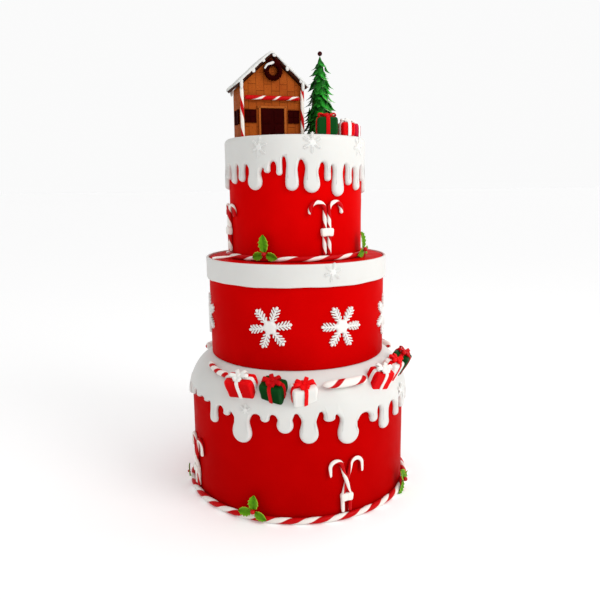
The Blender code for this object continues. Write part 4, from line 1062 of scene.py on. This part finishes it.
for name, node, paper, ribbon, angle, reach, facing, lean, *size in ledgeGifts:
    height = shoulderPoint(math.degrees(math.acos((reach - shoulderCentre) / cake["shoulderReach"])))[1]
    matrix = wallFrame(reach, angle, height) @ turnAbout("X", lean) @ turnAbout("Z", facing - angle)
    makeGift(name, node, paper, ribbon, matrix, size, giftLook["sunk"])
for name, node, paper, ribbon, spot, facing, *size in deckGifts:
    matrix = shift(*spot, cake["deck"] + clear) @ turnAbout("Z", facing)
    makeGift(name, node, paper, ribbon, matrix, size, 0.0)
print("gifts made")


# Gingerbread house.

houseFrame = shift(*house["place"], cake["deck"] + clear) @ turnAbout("Z", house["turn"])
slope = (house["apex"] - house["eave"]) / house["half"]
# Rectangles on the walls: width, low, high, middle.
doorPanels = [(0.0092, low, high, middle) for middle in (-0.0063, 0.0063)
              for low, high in ((0.0025, 0.0135), (0.0155, 0.0285))]
doorFrame = ((0.0022, 0.0, 0.0335, -0.0144), (0.0022, 0.0, 0.0335, 0.0144), (0.0330, 0.0313, 0.0338, 0.0))
shutters = ((0.0050, -0.0004, 0.0152, -0.0068), (0.0050, -0.0004, 0.0152, 0.0068))
postTwist = {"radius": house["post"] * 0.74, "pitch": 0.0330, "white": 0.60, "groove": 0.08, "sides": 20}
railTwist = {"radius": house["post"] * 0.85, "marks": (-0.014, 0.0186, 0.0358, 0.0525, 0.085), "white": 0.20,
             "groove": 0.10, "sides": 20}


def plateShape(outline, thick, matrix, soft, finish=0):
    # Flat plate from a closed outline in X and Z, as thick as given along Y, its edges drawn in softly.
    ring = denseLine([*outline, outline[0]], 0.002)[:-1]
    ahead = unit(np.roll(ring, -1, 0) - np.roll(ring, 1, 0))
    area = np.sum(ring[:, 0] * np.roll(ring[:, 1], -1) - np.roll(ring[:, 0], -1) * ring[:, 1])
    inward = joined(-ahead[:, 1], ahead[:, 0]) * np.sign(area)
    inner = (ring + ring.mean(0)) / 2
    half = thick / 2
    layers = [(inner, -half)]
    layers += [(ring + inward * inset, depth) for inset, depth in (
        (soft, -half), (0.3 * soft, 0.3 * soft - half), (0.0, soft - half),
        (0.0, half - soft), (0.3 * soft, half - 0.3 * soft), (soft, half))]
    layers.append((inner, half))
    points = [joined(line[:, 0], depth, line[:, 1]) for line, depth in layers]
    shape = gridShape(place(np.array(points), matrix))
    shape["finish"] = finish
    return shape


def panels(wall, rectangles, thick, out, soft, finish=0):
    # Flat rectangles whose middles stand out from a wall.
    return [plateShape([(middle - wide / 2, low), (middle + wide / 2, low), (middle + wide / 2, high),
                        (middle - wide / 2, high)], thick, wall @ shift(0, -out, 0), soft, finish)
            for wide, low, high, middle in rectangles]


def windowShapes(matrix, wide, high):
    # Dark pane with a raised frame and a cross of bars.
    bars = ((wide, -0.0003, 0.0011, 0.0), (wide, high - 0.0011, high + 0.0003, 0.0),
            (0.0013, 0.0, high, -wide / 2 + 0.0006), (0.0013, 0.0, high, wide / 2 - 0.0006),
            (0.0008, 0.0, high, 0.0), (wide, high / 2 - 0.0004, high / 2 + 0.0004, 0.0))
    pane = panels(matrix, [(wide, 0.0, high, 0.0)], 0.0008, 0.0004, 0.0002)
    return pane + panels(matrix, bars, 0.0013, 0.0007, 0.0002)


def roofLine(across, blunt):
    # Height of the roof, two slopes with the ridge rounded off as a hyperbola, and the way it faces.
    root = np.sqrt(across ** 2 + blunt ** 2)
    return house["apex"] - slope * (root - blunt), unit(joined(slope * across / root, 0.0, 1.0))


def roofShape():
    # Folded slab: a section across the roof's thickness, carried from one eave over the ridge to the other.
    half = house["half"] + house["over"]
    front, back, soft = -house["over"], house["deep"] + house["over"], 0.0006
    low, high = clear, clear + house["roof"]
    across = np.linspace(-half, half, 61)
    height, facing = roofLine(across, 0.0009)
    ups = np.array([low, low + soft, high - soft, high, high, high - soft, low + soft, low])
    points = joined(across, 0.0, height)[:, None] + facing[:, None] * ups[None, :, None]
    points[..., 1] = [front + soft, front, front, front + soft, back - soft, back, back, back - soft]
    return gridShape(place(points, houseFrame))


def snowSheet():
    # Icing on the roof: a sheet from eave to eave, lumpy, whose edges wander as sine waves and round off.
    a = np.linspace(-1, 1, 121)[:, None]
    b = np.linspace(-1, 1, 61)[None, :]
    half = house["half"] + house["over"] + 0.0004
    deep = house["deep"] / 2 + house["over"] + 0.0012
    across = a * (half + 0.0011 * (np.sin(b * 17 + 1) * 0.5 + 0.5))
    depth = house["deep"] / 2 + b * (deep + 0.0009 * (np.sin(a * 23 + 2) * 0.5 + 0.5))
    height, facing = roofLine(across, 0.0012)
    base = joined(across, depth, height)
    roundOff = np.sqrt(np.clip(1 - np.abs(a) ** 26, 0, 1)) * np.sqrt(np.clip(1 - np.abs(b) ** 26, 0, 1))
    thick = (house["snow"] + wobble(base, 0.012, 0.0006, 51)) * roundOff + 0.0001
    under = base + facing * (clear + house["roof"])
    rows = np.concatenate([under + facing * thick[..., None], under[:, ::-1]], 1)
    return gridShape(place(rows, houseFrame))


def icingTube(line, radius, seed):
    # Piped line of icing: a round tube that swells and thins along its way and closes in rounded ends.
    path = smoothPath(line, 160)
    uneven = 1 + wobble(path, 0.0075, 0.24, seed)[:, None]
    reach = radius * uneven * roundEnds(pathLength(path), radius)
    return moved(sweep(path, np.array([0.0, -1.0, 0.0]), roundSection(reach, circleTurns(16))), houseFrame)


def fringeShapes(y, seed):
    # A thin bead along the gable's upper edge, with short drops hanging from it at uneven steps.
    draw = random.Random(seed)
    half = house["half"] + house["over"] + 0.0008
    rise = (clear + house["roof"] + 0.0004) * math.hypot(1.0, slope)
    across = np.linspace(-half, half, 41)
    line = joined(across, y, roofLine(across, 0.0014)[0] + rise)
    shapes = [icingTube(line, 0.0012, seed)]
    spot = -half + 0.004
    while spot < half - 0.001:
        long = draw.uniform(0.0018, 0.0042)
        top = house["apex"] - slope * abs(spot) + rise
        shapes.append(pillow((draw.uniform(0.0030, 0.0046), 0.0022, long + 0.0016),
                             houseFrame @ shift(spot, y, top - long / 2 + 0.0004), 16, 11, 0.9))
        spot += draw.uniform(0.0105, 0.0185)
    spot = house["half"] + 0.0010
    for side in (-spot, spot):
        corner = houseFrame @ shift(side, y, house["apex"] - slope * spot + rise - 0.0040)
        shapes.append(pillow((0.0036, 0.0030, 0.0108), corner, 18, 15, 0.85))
    return shapes


def makeWalls():
    # One gabled block, the roof slab, and icing over it with a smear on the gable.
    half, deep, eave, over = house["half"], house["deep"], house["eave"], house["over"]
    gable = [(-half, 0.0), (half, 0.0), (half, eave), (0.0, house["apex"]), (-half, eave)]
    walls = plateShape(gable, deep, houseFrame @ shift(0, deep / 2, 0), 0.0008)
    makePiece("houseWalls", [walls], [gingerbread], ["house_walls"], 40)
    makePiece("houseRoof", [roofShape()], [roofBiscuit], ["house_roof"], 40)
    smear = ((-0.0092, -0.0064, 0.0715), (-0.0062, -0.0070, 0.0756), (-0.0020, -0.0071, 0.0772),
             (0.0014, -0.0068, 0.0786))
    snow = [snowSheet(), *fringeShapes(-over - 0.0006, 3), *fringeShapes(deep + over + 0.0006, 4),
            icingTube(smear, 0.0012, 5)]
    makePiece("houseSnow", snow, [whiteIcing], ["house_snow"])


def makeOpenings():
    # Door with panels and a pale frame, two windows in front, and one with shutters in the left wall.
    face = houseFrame @ shift(0, -clear, 0)
    door = [*panels(face, [(0.0265, 0.0, 0.0310, 0.0)], 0.0012, 0.0006, 0.0003),
            *panels(face, doorPanels, 0.0008, 0.0014, 0.0003),
            *panels(face, doorFrame, 0.0022, 0.0011, 0.0005, 1)]
    makePiece("houseDoor", door, [darkBiscuit, paleTrim], ["house_door"], 40)
    sideWall = houseFrame @ shift(-house["half"] - clear, house["deep"] * 0.5, 0.0160) @ turnAbout("Z", -90)
    for name, shapes in (("Left", windowShapes(face @ shift(-0.0245, 0, 0.0160), 0.0125, 0.0135)),
                         ("Right", windowShapes(face @ shift(0.0245, 0, 0.0160), 0.0125, 0.0135)),
                         ("Side", windowShapes(sideWall, 0.0120, 0.0148)
                          + panels(sideWall, shutters, 0.0020, 0.0010, 0.0004))):
        makePiece("houseWindow" + name, shapes, [darkBiscuit], ["house_window_" + name.lower()],
                  40)


def makeWreath():
    # Twig ring: a torus whose tube swells in small knots as it goes round, with a bow on top.
    centre = houseFrame @ shift(0.0012, -0.0028 - clear, 0.0703)
    turn = np.linspace(0, fullTurn, 144, endpoint=False)
    path = joined(0.0076 * np.sin(turn), 0.0, 0.0076 * np.cos(turn))
    turn, spin = turn[:, None], circleTurns(20)
    tube = 0.0027 * (1 + 0.16 * np.sin(18 * turn + 2 * spin) + 0.10 * np.sin(29 * turn - 3 * spin))
    shapes = [moved(sweep(path, unit(path), roundSection(tube, spin), True), centre)]
    for side in (-1, 1):
        tilt = centre @ shift(side * 0.0042, -0.0012, 0.0086) @ turnAbout("Y", side * 30)
        shapes.append(pillow((0.0078, 0.0032, 0.0050), tilt, 18, 11, 0.75))
    shapes.append(pillow((0.0030, 0.0036, 0.0034), centre @ shift(0, -0.0018, 0.0090), 14, 9, 0.8))
    makePiece("houseWreath", shapes, [darkBiscuit], ["house_wreath"])


def makeBars():
    # Striped posts at the front corners, up to the roof, and a rail between them.
    reach = house["half"] + 0.0006
    y = -house["post"] - clear
    top = house["apex"] - slope * (reach + house["post"]) - 0.0006
    rail = reach - house["post"] - 0.0004
    front = houseFrame[:3, :3] @ np.array([0.0, -1.0, 0.0])
    high = house["rail"]
    for name, node, look, start, stop, count in (
            ("PostLeft", "post_left", {**postTwist, "phase": 2.6}, (-reach, y, 0.0), (-reach, y, top), 70),
            ("PostRight", "post_right", {**postTwist, "phase": 0.2}, (reach, y, 0.0), (reach, y, top), 70),
            ("Rail", "rail", railTwist, (-rail, y, high), (rail, y, high), 90)):
        bar = twistedTube(place(np.linspace(start, stop, count), houseFrame), front, look)
        makePiece("house" + name, [bar], [houseTwist], ["house_" + node])


makeWalls()
makeOpenings()
makeWreath()
makeBars()
print("house made")


# Fir tree.

treeLook = {"place": (0.0290, -0.0060), "high": 0.0885, "radius": 0.0188, "layers": 10, "leaves": 15,
            "ball": 0.0026, "core": 0.68, "power": 0.46}


def sprayShape(matrix, long, wide, flick, bright):
    # One leaf: a kite of six corners in section, folded along its midrib and pointed, whose tip turns up.
    # Bright, up to 1, scales how pale its rim and tip get, a painted highlight; at 0 the leaf stays deep
    # green, painted shade.
    t = np.linspace(0.0, 1.0, 10)[:, None]
    turn = circleTurns(6)
    half = wide / 2 * np.interp(t, [0, 0.12, 0.36, 0.70, 1.0], [0.30, 0.72, 1.0, 0.52, 0.03])
    across = np.cos(turn)
    z = -long * 0.10 * np.sin(math.pi * t) + long * flick * t ** 3 - 0.42 * half * (np.abs(across) - 0.5)
    points = joined(long * t, half * across, z + (0.16 * half + 0.00018) * np.sin(turn))
    # Painted highlight: the across field, which the finish turns from deep green to bright green and a near
    # white rim, is scaled by bright and grows towards the tip.
    fields = {"across": bright * np.abs(across) * (0.25 + 0.75 * t), "along": t}
    return gridShape(place(points, matrix), fields=fields)


def makeTree():
    # A cone clad in whorls of pointed leaves: each leaf springs from the core, hangs down over the whorl
    # below at 44 to 66 degrees and flicks its tip out. Tips reach radius times (1 - height) to a power.
    # Leaves that face the light at the right are painted brighter, with paler rims and tips: painted light;
    # those facing away are painted deep green, painted shade.
    draw = random.Random(7)
    stem = shift(*treeLook["place"], cake["deck"] + clear)
    high, layers = treeLook["high"], treeLook["layers"]
    levels = np.linspace(0, 1, 24)[:, None]
    body = clear + treeLook["radius"] * treeLook["core"] * (1 - levels) ** (treeLook["power"] + 0.2)
    turn = circleTurns(30)
    core = joined(body * np.cos(turn), body * np.sin(turn), high * levels)
    # The core's across field is 0, so it takes the deep green: painted shade inside the tree.
    shapes = [gridShape(place(core, stem), fields={"across": 0.0, "along": 0.1})]
    for layer in range(layers):
        share = layer / layers
        count = max(6, round(treeLook["leaves"] * (1 - 0.58 * share)))
        for leaf in range(count):
            foot = 0.0015 + (high - 0.0095) * share + draw.uniform(0.0, 0.0055)
            reach = treeLook["radius"] * (1 - foot / high) ** treeLook["power"]
            heading = 360 * (leaf + 0.5 * (layer % 2)) / count + draw.uniform(-11, 11)
            long = (0.0178 - 0.0092 * share) * draw.uniform(0.85, 1.15)
            drop = math.radians(draw.uniform(44, 66))
            tip = reach * draw.uniform(0.82, 1.14)
            start = max(0.0004, tip - long * math.cos(drop))
            top = min(foot + long * math.sin(drop), high - 0.0015)
            spot = (stem @ shift(0, 0, top) @ turnAbout("Z", heading) @ shift(start, 0, 0)
                    @ turnAbout("Y", math.degrees(drop)) @ turnAbout("X", draw.uniform(-24, 24)))
            # Painted light: this share is largest for leaves facing the light at the right, towards +X, and 0
            # for leaves facing away, which stay deep green as painted shade.
            paintedSun = max(0.0, 0.56 + 1.25 * math.cos(math.radians(heading + 10)))
            shapes.append(sprayShape(spot, long, long * draw.uniform(0.50, 0.70), draw.uniform(0.10, 0.30),
                                     paintedSun * draw.uniform(0.35, 1.15)))
    makePiece("firTree", shapes, [firGreen], ["tree"])
    ball = treeLook["ball"]
    shape = pillow((2 * ball,) * 3, stem @ shift(0, 0, high + clear + ball), 24, 15, 1.0)
    makePiece("treeBall", [shape], [darkBerry], ["tree_ball"])


makeTree()
print("tree made")


# Floor, light and camera.

stageLook = {"floor": (0.93, 0.93, 0.93, 1.0), "floorGlow": 0.15, "sky": (0.57, 1.18), "skySeen": 0.96,
             "lampPower": 5.4, "lampSize": 0.6, "lampAt": (0.80, -0.62, 0.92), "lampTo": (0.0, 0.0, 0.36),
             "lampColour": (1.0, 0.99, 0.97), "focal": 613.05 / 600, "eye": (-0.0003, -0.7252, 0.3507),
             "heading": -0.338, "tipped": 10.468, "rolled": -0.636}


def makeFloor():
    # Wide pale plane that glows a little.
    bpy.ops.mesh.primitive_plane_add(size=120, location=(0, 0, -0.0004))
    floor = bpy.context.object
    floor.name = "paleFloor"
    finish, _, shader = newFinish("paleFloor", 0.8, 0.1)
    shader.inputs["Base Color"].default_value = stageLook["floor"]
    shader.inputs["Emission Color"].default_value = (1.0, 1.0, 1.0, 1.0)
    shader.inputs["Emission Strength"].default_value = stageLook["floorGlow"]
    floor.data.materials.append(finish)


def addHolder(name, data):
    # Object in the scene for a lamp or a camera.
    holder = bpy.data.objects.new(name, data)
    bpy.context.scene.collection.objects.link(holder)
    return holder


def makeLight():
    # A pale sky, dimmer at the left and brighter at the right, and a soft lamp from the upper right.
    world = bpy.data.worlds.new("studio")
    bpy.context.scene.world = world
    world.use_nodes = True
    tree = world.node_tree
    back = tree.nodes["Background"]
    way = addNode(tree, "ShaderNodeTexCoord").outputs["Generated"]
    east = addNode(tree, "ShaderNodeSeparateXYZ", Vector=way).outputs["X"]
    back.inputs["Color"].default_value = (1.0, 1.0, 1.0, 1.0)
    strength = addNode(tree, "ShaderNodeMix", {"data_type": "FLOAT"})
    tree.links.new(addNode(tree, "ShaderNodeLightPath").outputs["Is Camera Ray"], strength.inputs[0])
    tree.links.new(spread(tree, east, -1.0, 1.0, *stageLook["sky"]), strength.inputs[2])
    strength.inputs[3].default_value = stageLook["skySeen"]
    tree.links.new(strength.outputs[0], back.inputs["Strength"])
    lamp = bpy.data.lights.new("keyLight", "AREA")
    lamp.energy = stageLook["lampPower"]
    lamp.color = stageLook["lampColour"]
    lamp.shape = "DISK"
    lamp.size = stageLook["lampSize"]
    holder = addHolder("keyLight", lamp)
    holder.location = stageLook["lampAt"]
    ahead = np.array(stageLook["lampTo"]) - np.array(stageLook["lampAt"])
    pitch = math.atan2(math.hypot(ahead[0], ahead[1]), -ahead[2])
    holder.rotation_euler = (pitch, 0.0, math.atan2(-ahead[0], ahead[1]))
    bpy.context.scene.view_settings.view_transform = "Standard"


def makeCamera():
    # The camera fitted to the photograph: its heading, how far it tips down and how far it is rolled.
    lens = bpy.data.cameras.new("camera")
    lens.sensor_width = 36
    lens.lens = 36 * stageLook["focal"]
    lens.clip_start = 0.02
    holder = addHolder("camera", lens)
    matrix = (shift(*stageLook["eye"]) @ turnAbout("Z", stageLook["heading"])
              @ turnAbout("X", 90 - stageLook["tipped"]) @ turnAbout("Z", stageLook["rolled"]))
    holder.matrix_world = [tuple(column) for column in matrix.T.tolist()]
    bpy.context.scene.camera = holder


makeFloor()
makeLight()
makeCamera()
print("stage ready")
